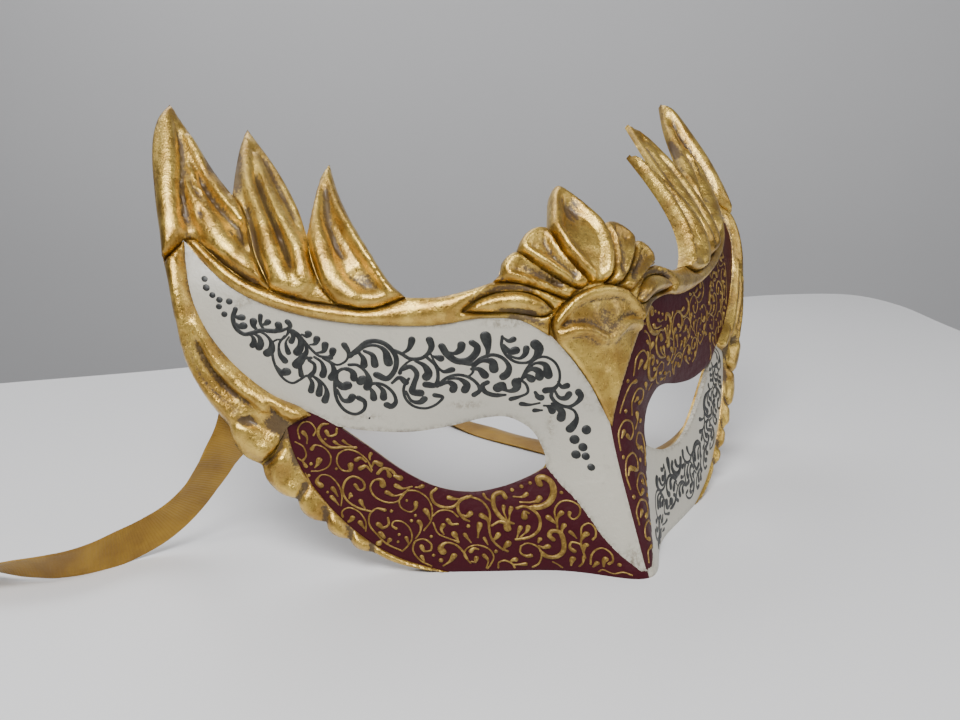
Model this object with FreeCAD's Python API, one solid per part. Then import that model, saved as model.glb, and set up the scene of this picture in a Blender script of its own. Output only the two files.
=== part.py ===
import FreeCAD
import Part
import math
import os

# A venetian half mask that stands on its lower rim and faces -Y.
# Millimetres. +Z is up, the mask's own left-right direction is X, and the mask is
# symmetric about x = 0. "left" is the side with negative x.

# ---- driving dimensions -------------------------------------------------------------
SHELL_T = 2.4            # depth of the paper shell, measured along Y
GLUE = 0.05              # glue line between an ornament and the shell
Y_SHIFT = 15.65          # puts the middle of the mask's depth on y = 0

PROFILE_Y = -55.5        # depth of the centre line at the lower rim
PROFILE_LEAN = 0.16      # backward lean of the lower face
CREST_LEAN = 1.10        # extra lean of the flames and the crest
CREST_Z = 74.6           # height where that lean sets in
CREST_SOFT = 4.0         # how softly it does so
SIDE_SLOPE = 0.61        # how fast the cheeks fall back
SIDE_SOFT = 16.5         # half width of the rounded middle

NOSE_H = 11.3            # how far the nose stands out at the lower rim
NOSE_TOP = 38.0          # height where the nose begins
NOSE_W = 11.0            # its width
SOCKET_D = 4.5           # depth of the eye socket's hollow

RIBBON_W = 10.0          # width of the satin ribbon
TUBE_R = 1.5             # radius of a rod with about the same cloth in its section
TAB_T = 2.6              # thickness of the glued ribbon tab
COIL_R = 25.0            # outer radius of the loosely rolled ribbon end
COIL_HOLE_R = 8.5        # its open middle

PARTS = "parts"


# ---- the face surface ---------------------------------------------------------------
def face_y(x, z):
    """Depth of the outer skin at half width x and height z."""
    x = abs(x)
    y = PROFILE_Y + PROFILE_LEAN * z
    y += CREST_LEAN * CREST_SOFT * math.log1p(math.exp((z - CREST_Z) / CREST_SOFT))
    y += SIDE_SLOPE * (math.hypot(x, SIDE_SOFT) - SIDE_SOFT)
    y -= 0.022 * max(x - 66.0, 0.0) * max(z - 77.0, 0.0)
    y -= NOSE_H * max(1.0 - z / NOSE_TOP, 0.0) ** 1.2 * math.exp(-(x / NOSE_W) ** 2)
    y += SOCKET_D * math.exp(-((x - 27.0) / 19.0) ** 2 - ((z - 29.0) / 13.0) ** 2)
    return y + Y_SHIFT


def skin(x_range, z_range, height, step=4.0):
    """A smooth face height(x, z) in front of the outer skin, over a box in x and z."""
    columns = max(4, int((x_range[1] - x_range[0]) / step) + 1)
    rows = max(4, int((z_range[1] - z_range[0]) / step) + 1)
    grid = []
    for i in range(columns):
        x = x_range[0] + (x_range[1] - x_range[0]) * i / (columns - 1)
        line = []
        for j in range(rows):
            z = z_range[0] + (z_range[1] - z_range[0]) * j / (rows - 1)
            line.append(FreeCAD.Vector(x, face_y(x, z) - height(x, z), z))
        grid.append(line)
    surface = Part.BSplineSurface()
    surface.interpolate(grid)
    return surface.toShape()


def slab(x_range, z_range, height, depth, step=4.0):
    """The solid that reaches depth behind the skin that skin() makes."""
    return skin(x_range, z_range, height, step).extrude(FreeCAD.Vector(0, depth, 0))


def outline(runs):
    """A closed wire in the plane y = -120 from runs of (x, z) points.

    A run of two points is straight and a longer one is a smooth curve. Each run starts
    where the one before it ends.
    """
    edges = []
    for index, run in enumerate(runs):
        start = runs[index - 1][-1] if index else runs[-1][-1]
        points = [FreeCAD.Vector(x, -120, z) for x, z in [start] + run]
        if len(points) == 2:
            edges.append(Part.LineSegment(points[0], points[1]).toShape())
        else:
            curve = Part.BSplineCurve()
            curve.interpolate(points)
            edges.append(curve.toShape())
    return Part.Wire(edges)


def prism(runs):
    """Everything in front of and behind an outline, from y = -120 to y = 120."""
    return Part.Face(outline(runs)).extrude(FreeCAD.Vector(0, 240, 0))


def mirrored(shape):
    """The same piece on the other side of the mask."""
    return shape.mirror(FreeCAD.Vector(0, 0, 0), FreeCAD.Vector(1, 0, 0))


def flat(height):
    """A height function with one value."""
    return lambda x, z: height


def ornament(runs, height, step=2.0):
    """A solid ornament on the shell's front: an outline, and its height over the shell."""
    points = [point for run in runs for point in run]
    x_range = (min(p[0] for p in points) - 2.5, max(p[0] for p in points) + 2.5)
    z_range = (min(p[1] for p in points) - 2.5, max(p[1] for p in points) + 2.5)
    front = slab(x_range, z_range, height, 14.0, step)
    behind = slab(x_range, z_range, flat(GLUE), 30.0, step)
    return solid_of(front.common(prism(runs)).cut(behind))


def solid_of(shape):
    """The one solid of a shape, or the largest if a boolean left slivers."""
    return max(shape.Solids, key=lambda s: s.Volume)


def ridge(x, z, a, b, width):
    """1 on the line from a to b, falling softly to 0 at about width from it."""
    ax, az = a
    bx, bz = b
    length = (bx - ax) ** 2 + (bz - az) ** 2
    t = ((x - ax) * (bx - ax) + (z - az) * (bz - az)) / length
    t = min(max(t, 0.0), 1.0)
    far = math.hypot(x - ax - t * (bx - ax), z - az - t * (bz - az))
    return math.exp(-(far / width) ** 2)


# ---- outlines, for the side with positive x -----------------------------------------
SPEAR_EDGE = [(2.6, 89.4), (6.0, 85.1), (7.9, 82.4)]
UPPER_LOBE_EDGE = [(10.6, 82.7), (13.2, 81.9), (15.8, 80.2), (18.0, 77.8)]
LOWER_LOBE_EDGE = [(20.6, 76.7), (22.4, 75.1), (23.4, 73.0), (25.2, 71.4)]
RIM_EDGE = [(28.5, 70.1), (33.0, 68.8), (38.0, 67.8), (44.5, 68.0)]
INNER_FLAME_IN = [(47.3, 71.6), (49.2, 77.0), (50.6, 84.0), (50.7, 91.0), (49.6, 98.0)]
INNER_FLAME_OUT = [(53.6, 93.9), (58.0, 87.4), (61.4, 81.8)]
MIDDLE_FLAME_IN = [(61.0, 88.4), (61.9, 97.0), (64.6, 106.8)]
MIDDLE_FLAME_OUT = [(68.4, 102.3), (72.0, 96.4), (74.6, 91.2)]
OUTER_FLAME_IN = [(77.2, 96.8), (79.6, 104.3), (83.3, 113.3)]
OUTER_FLAME_OUT = [(87.6, 109.4), (90.6, 102.0), (92.6, 90.0), (93.4, 76.0)]
SIDE_EDGE = [(93.2, 64.0), (92.0, 53.0), (88.8, 44.3), (84.4, 36.8)]
SCALLOPS = [
    [(84.0, 33.0), (81.8, 29.4), (78.7, 27.4)],
    [(77.8, 23.6), (75.2, 20.2), (71.8, 18.8)],
    [(71.2, 15.9), (69.2, 13.8), (66.2, 13.0)],
    [(65.8, 10.8), (64.0, 9.2), (61.5, 8.7)],
    [(60.9, 7.0), (59.3, 5.8), (57.0, 5.4)],
]
LOWER_RIM = [(52.5, 2.7), (46.7, 0.8), (41.0, 0.0)]

EYE = [
    [(20.0, 22.9), (26.0, 20.6), (33.4, 19.5), (41.0, 21.0), (48.0, 25.0), (55.0, 31.0),
     (61.7, 36.8)],
    [(55.0, 35.6), (45.8, 35.0), (37.0, 36.0), (29.0, 37.9), (23.6, 37.9), (18.6, 34.4),
     (16.2, 29.0), (16.2, 25.2)],
]


def crest_solids():
    """The palmette over the nose: spear, lobes and boss."""
    spear = [
        [(-2.6, 89.4), (-6.0, 85.1), (-7.9, 82.4)],
        [(-7.2, 77.4), (-4.6, 72.6), (-2.2, 70.2)],
        [(2.2, 70.2)],
        [(4.6, 72.6), (7.2, 77.4), (7.9, 82.4)],
        [(6.0, 85.1), (2.6, 89.4), (0.0, 91.4)],
    ]
    upper = [
        [(10.6, 82.7), (13.2, 81.9), (15.8, 80.2), (18.0, 77.8)],
        [(14.0, 74.4), (8.4, 70.2), (5.0, 69.0)],
        [(2.8, 69.9)],
        [(5.2, 72.6), (7.8, 77.6), (8.2, 82.5)],
    ]
    lower = [
        [(20.6, 76.7), (22.4, 75.1), (23.4, 73.0), (25.2, 71.4)],
        [(20.0, 70.9), (14.0, 68.9), (9.4, 66.9)],
        [(5.6, 68.8)],
        [(9.0, 70.0), (14.6, 74.2), (18.3, 77.7)],
    ]
    boss = [
        [(13.4, 61.6), (9.2, 66.4), (5.2, 68.5), (0.0, 69.5),
         (-5.2, 68.5), (-9.2, 66.4), (-13.4, 61.6), (-12.6, 56.6)],
        [(-8.4, 51.2), (-3.6, 43.0), (0.0, 34.5)],
        [(3.6, 43.0), (8.4, 51.2), (12.6, 56.6)],
    ]

    def spear_height(x, z):
        wall = ridge(x, z, (0.0, 90.5), (6.2, 82.0), 1.7)
        wall += ridge(x, z, (6.2, 82.0), (2.4, 71.6), 1.7)
        wall += ridge(x, z, (0.0, 90.5), (-6.2, 82.0), 1.7)
        wall += ridge(x, z, (-6.2, 82.0), (-2.4, 71.6), 1.7)
        return 1.5 + 1.9 * min(wall, 1.0)

    def upper_height(x, z):
        wall = ridge(x, z, (9.4, 80.4), (13.8, 79.2), 1.5)
        wall += ridge(x, z, (13.8, 79.2), (7.6, 72.0), 1.5)
        return 1.4 + 1.6 * min(wall, 1.0)

    def lower_height(x, z):
        wall = ridge(x, z, (17.6, 75.8), (21.6, 73.2), 1.5)
        wall += ridge(x, z, (21.6, 73.2), (11.6, 68.8), 1.5)
        return 1.4 + 1.6 * min(wall, 1.0)

    def boss_height(x, z):
        dome = 2.4 * math.exp(-(x / 11.0) ** 2 - ((z - 62.5) / 6.5) ** 2)
        pod = 1.0 * ridge(x, z, (-2.6, 65.6), (-1.8, 59.6), 1.6)
        return 1.1 + dome - pod

    made = {"crest_spear": ornament(spear, spear_height)}
    made["crest_lobe_upper_right"] = ornament(upper, upper_height)
    made["crest_lobe_lower_right"] = ornament(lower, lower_height)
    made["crest_boss"] = ornament(boss, boss_height)
    return made


def flame_solids():
    """Three flames that lean back over the temple."""
    inner = [
        INNER_FLAME_IN,
        INNER_FLAME_OUT,
        [(62.2, 76.5), (61.6, 71.0), (59.2, 66.3)],
        [(52.0, 65.4), (44.5, 68.0)],
    ]
    middle = [
        MIDDLE_FLAME_IN,
        MIDDLE_FLAME_OUT,
        [(73.2, 86.0), (73.7, 78.0), (72.4, 69.8)],
        [(66.0, 67.4), (59.4, 66.3)],
        [(61.8, 71.0), (62.4, 76.5), (61.5, 81.8)],
    ]
    outer = [
        OUTER_FLAME_IN,
        [(87.6, 109.4), (90.6, 102.0), (92.6, 90.0), (93.4, 76.0)],
        [(88.2, 81.4)],
        [(85.9, 81.6)],
        [(79.0, 73.8), (72.6, 69.8)],
        [(73.9, 78.0), (73.4, 86.0), (74.7, 91.2)],
    ]

    def inner_height(x, z):
        high = ridge(x, z, (50.4, 95.0), (58.4, 84.0), 2.8)
        high += ridge(x, z, (58.4, 84.0), (57.6, 69.0), 3.4)
        high += ridge(x, z, (50.8, 90.0), (51.2, 80.0), 2.4)
        high += ridge(x, z, (51.2, 80.0), (46.6, 69.6), 2.6)
        return 1.1 + 2.7 * min(high, 1.0)

    def middle_height(x, z):
        high = ridge(x, z, (69.2, 95.0), (70.2, 74.0), 2.6)
        high += ridge(x, z, (66.4, 93.0), (64.2, 74.0), 2.4)
        high += ridge(x, z, (64.2, 73.0), (70.0, 71.6), 2.6)
        return 1.0 + 2.7 * min(high, 1.0)

    def outer_height(x, z):
        high = ridge(x, z, (86.0, 107.0), (90.4, 84.0), 4.2)
        high += 0.8 * ridge(x, z, (81.6, 84.0), (79.4, 80.0), 4.0)
        high += 0.6 * ridge(x, z, (83.0, 97.0), (76.4, 86.0), 2.6)
        return 1.1 + 2.5 * min(high, 1.0)

    return {
        "flame_inner_right": ornament(inner, inner_height),
        "flame_middle_right": ornament(middle, middle_height),
        "flame_outer_right": ornament(outer, outer_height),
    }


def border_solids():
    """The gold rim over the brow, its leaf, and the borders at the temple and cheek."""
    rim = [
        [(33.0, 68.9), (38.0, 67.9), (44.3, 67.8)],
        [(52.0, 65.1), (59.3, 66.0), (66.0, 67.1), (72.6, 69.5), (79.2, 73.5),
         (85.8, 81.2)],
        [(87.9, 81.2)],
        [(82.4, 72.2), (75.2, 66.9), (66.0, 63.6), (57.0, 61.9), (47.0, 61.2),
         (38.0, 61.4), (29.5, 62.8), (20.9, 62.3), (14.3, 58.2)],
        [(13.9, 61.6), (12.8, 63.8)],
        [(16.0, 62.8), (22.0, 63.8), (28.0, 64.0), (33.6, 64.3)],
        [(29.4, 67.3), (24.6, 69.0), (19.6, 69.1), (15.6, 67.6), (12.4, 64.4)],
        [(9.8, 66.5)],
        [(14.2, 68.7), (20.0, 70.7), (25.4, 71.2)],
        [(28.5, 70.2)],
    ]
    leaf = [
        [(29.2, 67.0), (24.6, 68.7), (19.6, 68.8), (15.8, 67.3), (12.9, 64.2)],
        [(16.0, 63.1), (22.0, 64.1), (28.0, 64.3), (32.6, 64.4)],
    ]
    temple = [
        [(92.0, 53.0), (88.8, 44.3), (84.4, 36.8)],
        [(84.0, 33.0), (81.8, 29.4), (78.8, 27.6)],
        [(76.0, 30.2), (73.6, 35.0), (71.2, 42.2)],
        [(75.1, 45.0), (81.9, 51.9), (87.0, 60.6), (89.2, 69.9), (88.2, 81.0)],
        [(93.4, 75.8)],
        [(93.4, 70.0), (93.2, 64.0)],
    ]
    cheek = [
        [(77.8, 23.6), (75.2, 20.2), (71.8, 18.8)],
        [(71.2, 15.9), (69.2, 13.8), (66.2, 13.0)],
        [(65.8, 10.8), (64.0, 9.2), (61.5, 8.7)],
        [(60.9, 7.0), (59.3, 5.8), (57.0, 5.4)],
        [(52.5, 2.7), (46.7, 0.8), (41.0, 0.0)],
        [(44.9, 1.3), (50.8, 3.5), (55.7, 6.6), (60.2, 10.7), (64.2, 15.5), (67.3, 20.4),
         (70.0, 25.4), (71.7, 30.8), (72.4, 36.6)],
        [(75.6, 30.1), (78.5, 27.3)],
    ]

    def temple_height(x, z):
        high = ridge(x, z, (91.0, 74.0), (90.4, 57.0), 2.4)
        high += ridge(x, z, (90.4, 57.0), (83.0, 42.6), 2.4)
        high += ridge(x, z, (80.6, 35.4), (78.0, 30.6), 3.2)
        high += 0.7 * ridge(x, z, (79.0, 46.4), (73.4, 41.6), 2.2)
        return 1.0 + 2.2 * min(high, 1.0)

    def cheek_height(x, z):
        high = ridge(x, z, (74.6, 29.0), (73.8, 23.0), 2.4)
        high += ridge(x, z, (70.6, 20.0), (66.6, 14.6), 2.0)
        return 0.9 + 1.5 * min(high, 1.0)

    return {
        "forehead_rim_right": ornament(rim, flat(1.5), 3.0),
        "brow_leaf_right": ornament(leaf, flat(2.3)),
        "temple_border_right": ornament(temple, temple_height),
        "cheek_border_right": ornament(cheek, cheek_height),
    }


def shell_solid():
    """The half mask: one curved sheet with its whole outline and two eye openings."""
    half = [
        SPEAR_EDGE,
        UPPER_LOBE_EDGE,
        LOWER_LOBE_EDGE,
        RIM_EDGE,
        INNER_FLAME_IN,
        INNER_FLAME_OUT,
        MIDDLE_FLAME_IN,
        MIDDLE_FLAME_OUT,
        OUTER_FLAME_IN,
        OUTER_FLAME_OUT,
        SIDE_EDGE,
    ] + SCALLOPS + [
        LOWER_RIM,
        [(0.0, 0.0)],
        [(0.0, 91.4)],
    ]
    block = slab((-98.0, 98.0), (-6.0, 118.0), flat(0.0), SHELL_T, 4.0)
    window = prism(half).fuse(mirrored(prism(half))).removeSplitter()
    shell = block.common(window)
    shell = shell.cut(prism(EYE)).cut(mirrored(prism(EYE)))
    return solid_of(shell)


# ---- the ribbons --------------------------------------------------------------------
# Control points of each ribbon's middle line, from its tab to its coiled end.
RIBBON_LEFT = [
    (-81.5, 10.9, 38.0), (-82.2, 11.9, 33.6), (-84.9, 15.2, 28.4), (-88.0, 18.9, 21.4),
    (-92.8, 21.6, 14.2), (-99.0, 23.4, 8.6), (-107.0, 23.8, 5.4), (-116.6, 20.8, 4.9),
    (-125.2, 20.6, 4.9), (-132.2, 22.9, 5.3), (-139.5, 26.6, 5.7), (-147.5, 32.3, 5.4),
    (-155.0, 40.9, 5.1), (-160.6, 51.7, 5.0), (-163.0, 66.0, 5.0),
]
RIBBON_RIGHT = [
    (81.5, 10.9, 38.0), (81.6, 11.2, 31.0), (81.9, 13.5, 24.0), (80.8, 16.2, 16.0),
    (77.2, 16.8, 8.6), (70.5, 15.0, 3.4), (61.0, 12.6, 1.6), (50.5, 12.6, 1.6),
    (40.8, 18.0, 1.6), (33.0, 30.0, 1.6), (26.5, 46.0, 1.6), (20.8, 61.5, 1.6),
    (17.2, 78.5, 1.6), (17.6, 95.5, 3.2), (21.0, 110.5, 5.0),
]
COIL_LEFT = (-188.0, 68.0)
COIL_RIGHT = (-4.0, 112.0)


def rounded_path(points, report):
    """Straight runs joined by tangent arcs that are as large as the runs allow."""
    points = [FreeCAD.Vector(*p) for p in points]
    edges = []
    radii = []
    last = points[0]
    for before, corner, after in zip(points, points[1:], points[2:]):
        back = (before - corner).normalize()
        on = (after - corner).normalize()
        shorter = min((before - corner).Length, (after - corner).Length)
        half_turn = (math.pi - back.getAngle(on)) / 2
        cut = 0.45 * shorter
        radius = cut / math.tan(half_turn)
        radii.append(round(radius, 1))
        start = corner + back * cut
        end = corner + on * cut
        middle = (back + on).normalize()
        centre = corner + middle * math.hypot(cut, radius)
        top = centre - middle * radius
        edges.append(Part.LineSegment(last, start).toShape())
        edges.append(Part.Arc(start, top, end).toShape())
        last = end
    edges.append(Part.LineSegment(last, points[-1]).toShape())
    print(report, "radii", radii)
    return Part.Wire(edges)


def tube(points, name):
    """A round rod along a route."""
    path = rounded_path(points, name)
    first = path.Edges[0]
    start = first.Vertexes[0].Point
    along = first.tangentAt(first.FirstParameter)
    section = Part.Wire([Part.Circle(start, along, TUBE_R).toShape()])
    rod = path.makePipeShell([section], True, False)
    length = path.Length
    print(name, "length", round(length, 1), "volume", round(rod.Volume, 1),
          "section times length", round(math.pi * TUBE_R ** 2 * length, 1))
    return rod


def tab_solid():
    """The folded and glued end of the ribbon, on the inside of the temple."""
    pad = [
        [(87.0, 50.0)],
        [(75.5, 50.0)],
        [(75.5, 38.0)],
        [(84.5, 38.0)],
        [(86.5, 43.0)],
    ]
    inside = slab((74.0, 96.0), (28.0, 54.0), flat(-SHELL_T - GLUE), TAB_T, 2.0)
    return solid_of(inside.common(prism(pad)))


def coil_solid(centre):
    """The outer shape of the loosely rolled end, which stands on its edge."""
    base = FreeCAD.Vector(centre[0], centre[1], 0)
    disc = Part.makeCylinder(COIL_R, RIBBON_W, base)
    return disc.cut(Part.makeCylinder(COIL_HOLE_R, RIBBON_W, base))


def save(name, shape):
    """Writes one node and prints its size."""
    shape.exportStep(os.path.join(PARTS, name + ".step"))
    box = shape.BoundBox
    print(name, "valid", shape.isValid(), "solids", len(shape.Solids),
          "volume", round(shape.Volume, 1),
          "box", [round(v, 1) for v in (box.XMin, box.YMin, box.ZMin)],
          [round(v, 1) for v in (box.XMax, box.YMax, box.ZMax)])


def main():
    os.makedirs(PARTS, exist_ok=True)
    save("face_shell", shell_solid())
    for group in (crest_solids(), flame_solids(), border_solids()):
        for name, shape in group.items():
            save(name, shape)
            if name.endswith("_right"):
                save(name[:-len("_right")] + "_left", mirrored(shape))
    tab = tab_solid()
    sides = (
        ("left", RIBBON_LEFT, COIL_LEFT, mirrored(tab)),
        ("right", RIBBON_RIGHT, COIL_RIGHT, tab),
    )
    for side, route, centre, pad in sides:
        rod = tube(route, "ribbon_" + side)
        coil = coil_solid(centre).cut(rod)
        save("ribbon_" + side, rod)
        save("ribbon_tab_" + side, pad.cut(rod))
        save("ribbon_coil_" + side, coil)


main()
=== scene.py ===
import logging
import math
from dataclasses import dataclass, field
from enum import Enum

import bmesh
import bpy
import numpy as np
from mathutils import Matrix, Vector


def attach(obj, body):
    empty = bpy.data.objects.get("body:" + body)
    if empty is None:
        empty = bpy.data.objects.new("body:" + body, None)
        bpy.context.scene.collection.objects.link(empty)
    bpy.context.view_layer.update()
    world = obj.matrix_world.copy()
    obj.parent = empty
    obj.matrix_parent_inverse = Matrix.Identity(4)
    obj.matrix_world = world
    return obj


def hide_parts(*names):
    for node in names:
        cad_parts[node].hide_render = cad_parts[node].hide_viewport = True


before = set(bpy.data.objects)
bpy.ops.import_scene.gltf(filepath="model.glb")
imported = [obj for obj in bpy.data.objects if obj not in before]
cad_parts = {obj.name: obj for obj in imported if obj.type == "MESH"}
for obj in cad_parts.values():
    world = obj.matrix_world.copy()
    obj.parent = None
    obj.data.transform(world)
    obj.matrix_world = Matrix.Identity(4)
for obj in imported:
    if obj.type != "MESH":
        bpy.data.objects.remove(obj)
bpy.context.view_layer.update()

logging.basicConfig(level=logging.INFO, format="%(message)s")
LOG = logging.getLogger("mask")
MM = 0.001
Point = tuple[float, float]
Spot3 = tuple[float, float, float]
Runs = list[list[Point]]


class Side(Enum):
    """Which half of the mask. The value is the sign of x."""

    LEFT = -1
    RIGHT = 1

    @property
    def word(self) -> str:
        """The side's name in lower case."""
        return self.name.lower()


def finish_mesh(bm: bmesh.types.BMesh, name: str, *materials: bpy.types.Material,
                crisp: float = 50.0) -> bpy.types.Object:
    """Turns a finished bmesh into a piece of the mask.

    Args:
        bm: the mesh, in the row frame in metres, freed here; name: the piece's name;
        materials: its finishes by slot; crisp: angle in degrees above which an edge
            stays sharp.
    Returns:
        The object, riding on the mask's one body.
    """
    mesh = bpy.data.meshes.new(name)
    bm.to_mesh(mesh)
    bm.free()
    for material in materials:
        mesh.materials.append(material)
    mesh.shade_smooth()
    mesh.set_sharp_from_angle(angle=math.radians(crisp))
    piece = bpy.data.objects.new(name, mesh)
    bpy.context.scene.collection.objects.link(piece)
    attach(piece, "root")
    LOG.info("%s: %d faces", name, len(mesh.polygons))
    return piece


# ---- the face surface ---------------------------------------------------------------
@dataclass(frozen=True)
class FaceSurface:
    """The mask's outer skin, the same formula as the CAD shell. Sizes in millimetres."""

    profile: float = -55.5
    lean: float = 0.16
    crest_lean: float = 1.10
    crest_z: float = 74.6
    crest_soft: float = 4.0
    side_slope: float = 0.61
    side_soft: float = 16.5
    nose: Spot3 = (11.3, 38.0, 11.0)
    socket: float = 4.5
    shift: float = 15.65
    depth: float = 2.4

    def y(self, x: np.ndarray, z: np.ndarray) -> np.ndarray:
        """Depth of the outer skin.

        Args:
            x: half widths; z: heights.
        Returns:
            The y of the skin at each place.
        """
        x = np.abs(x)
        high, top, wide = self.nose
        y = self.profile + self.lean * z + self.shift
        y = y + self.crest_lean * self.crest_soft * np.log1p(np.exp((z - self.crest_z) / self.crest_soft))
        y = y + self.side_slope * (np.hypot(x, self.side_soft) - self.side_soft)
        y = y - 0.022 * np.maximum(x - 66.0, 0.0) * np.maximum(z - 77.0, 0.0)
        y = y - high * np.maximum(1.0 - z / top, 0.0) ** 1.2 * np.exp(-(x / wide) ** 2)
        return y + self.socket * np.exp(-((x - 27.0) / 19.0) ** 2 - ((z - 29.0) / 13.0) ** 2)

    def wrap(self, flat: np.ndarray) -> np.ndarray:
        """Puts points of the flat pattern on the face.

        Args:
            flat: rows of x, z and height in front of the skin, square to it.
        Returns:
            Rows of x, y and z in metres, in the row frame.
        """
        x, z, h = flat.T
        e = 0.05
        along_x = (self.y(x + e, z) - self.y(x - e, z)) / (2 * e)
        along_z = (self.y(x, z + e) - self.y(x, z - e)) / (2 * e)
        size = np.sqrt(1.0 + along_x ** 2 + along_z ** 2)
        reach = np.where(h < 0, h / size, h)
        up = np.maximum(z + reach * along_z / size, 0.0)
        return np.stack([x + reach * along_x / size, self.y(x, z) - reach / size, up], 1) * MM


FACE = FaceSurface()


# ---- drawing on the pattern ---------------------------------------------------------
def smooth_run(points: list[Point], step: float = 0.6) -> np.ndarray:
    """A smooth curve through points.

    Args:
        points: the points it passes, two or more; step: the spacing of the answer.
    Returns:
        The curve's points, first and last included.
    """
    p = np.array(points, float)
    if len(p) == 2:
        n = max(1, int(np.linalg.norm(p[1] - p[0]) / step))
        return p[0] + np.linspace(0, 1, n + 1)[:, None] * (p[1] - p[0])
    ends = np.vstack([2 * p[0] - p[1], p, 2 * p[-1] - p[-2]])
    out = [p[0]]
    for a, b, c, d in zip(ends, ends[1:], ends[2:], ends[3:]):
        n = max(2, int(np.linalg.norm(c - b) / step))
        t = np.linspace(0, 1, n + 1)[1:, None]
        out.extend(0.5 * (2 * b + (c - a) * t + (2 * a - 5 * b + 4 * c - d) * t ** 2
                          + (3 * b - a - 3 * c + d) * t ** 3))
    return np.array(out)


def closed_outline(runs: Runs, step: float = 0.6) -> np.ndarray:
    """The closed outline of runs that each start where the one before ends.

    Args:
        runs: the runs of points; step: the spacing of the answer.
    Returns:
        The outline's points in order, none repeated.
    """
    out = []
    for index, run in enumerate(runs):
        out.extend(smooth_run([runs[index - 1][-1]] + run, step)[1:])
    return np.array(out)


def distance_to(line: np.ndarray, x: np.ndarray, z: np.ndarray) -> tuple[np.ndarray, np.ndarray]:
    """How far places are from a polyline.

    Args:
        line: its points; x, z: the places.
    Returns:
        The distances, and how far along the line the nearest point is, 0 to 1.
    """
    best = np.full(x.shape, 1e9)
    along = np.zeros(x.shape)
    last = len(line) - 1
    for i in range(last):
        a, d = line[i], line[i + 1] - line[i]
        t = np.clip(((x - a[0]) * d[0] + (z - a[1]) * d[1]) / max(d @ d, 1e-9), 0, 1)
        far = np.hypot(x - a[0] - t * d[0], z - a[1] - t * d[1])
        near = far < best
        best = np.where(near, far, best)
        along = np.where(near, (i + t) / last, along)
    return best, along


@dataclass(frozen=True)
class Ridge:
    """A rounded fold of the relief along a line. width and height hold from its start
    to its end."""

    points: list[Point]
    width: Point
    height: Point

    def lift(self, x: np.ndarray, z: np.ndarray) -> np.ndarray:
        """Its height at each place."""
        far, t = distance_to(smooth_run(self.points, 1.2), x, z)
        width = self.width[0] + t * (self.width[1] - self.width[0])
        height = self.height[0] + t * (self.height[1] - self.height[0])
        return height * np.clip(1 - (far / width) ** 2, 0, 1) ** 0.8


@dataclass(frozen=True)
class Groove:
    """A soft valley along a line. dark is how much patina has stayed in it."""

    points: list[Point]
    width: float
    depth: float
    dark: float = 0.5


@dataclass(frozen=True)
class Dent:
    """A soft oval hollow, or a bump if its depth is negative."""

    at: Point
    size: Point
    depth: float
    dark: float = 0.0
    turn: float = 0.0

    def weight(self, x: np.ndarray, z: np.ndarray) -> np.ndarray:
        """1 in the middle, falling to 0 outside."""
        c, s = math.cos(math.radians(self.turn)), math.sin(math.radians(self.turn))
        u = ((x - self.at[0]) * c + (z - self.at[1]) * s) / self.size[0]
        v = (-(x - self.at[0]) * s + (z - self.at[1]) * c) / self.size[1]
        return np.exp(-(u * u + v * v) ** 1.5)


@dataclass(frozen=True)
class Relief:
    """The modelled surface of one ornament, for positive x. Millimetres."""

    base: float = 1.0
    lip: float = 0.25
    round_edge: float = 1.0
    edge_dark: float = 0.35
    ridges: tuple[Ridge, ...] = ()
    grooves: tuple[Groove, ...] = ()
    dents: tuple[Dent, ...] = ()

    def body(self, x: np.ndarray, z: np.ndarray) -> tuple[np.ndarray, np.ndarray]:
        """Height and patina of the relief before its edge is rounded."""
        h = np.full(x.shape, self.base)
        dark = np.zeros(x.shape)
        for ridge in self.ridges:
            h = np.maximum(h, self.base + ridge.lift(x, z))
        for groove in self.grooves:
            far, t = distance_to(smooth_run(groove.points, 1.2), x, z)
            weight = np.exp(-(far / groove.width) ** 2) * np.clip(np.minimum(t, 1 - t) * 6, 0.2, 1)
            h = h - groove.depth * weight
            dark = np.maximum(dark, groove.dark * weight)
        for dent in self.dents:
            weight = dent.weight(x, z)
            h = h - dent.depth * weight
            dark = np.maximum(dark, dent.dark * weight)
        return h, dark

    def heights(self, x: np.ndarray, z: np.ndarray, edge: np.ndarray) -> tuple[np.ndarray, np.ndarray]:
        """Height and patina.

        Args:
            x, z: places, x not negative; edge: how far each is from the outline.
        Returns:
            The heights in front of the skin, and the patina from 0 to 1.
        """
        h, dark = self.body(x, z)
        around = [self.body(x + 1.5 * math.cos(a), z + 1.5 * math.sin(a))[0] for a in (0.4, 2.5, 4.6)]
        cavity = np.clip(sum(around) / 3 - h, 0, 1)
        s = np.clip(1 - edge / self.round_edge, 0, 1)
        h = self.lip + np.maximum(h - self.lip, 0.1) * np.sqrt(1 - s * s)
        return h, np.clip(0.8 * dark + 0.55 * cavity + self.edge_dark * np.exp(-(edge / 0.7) ** 2), 0, 1)


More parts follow.
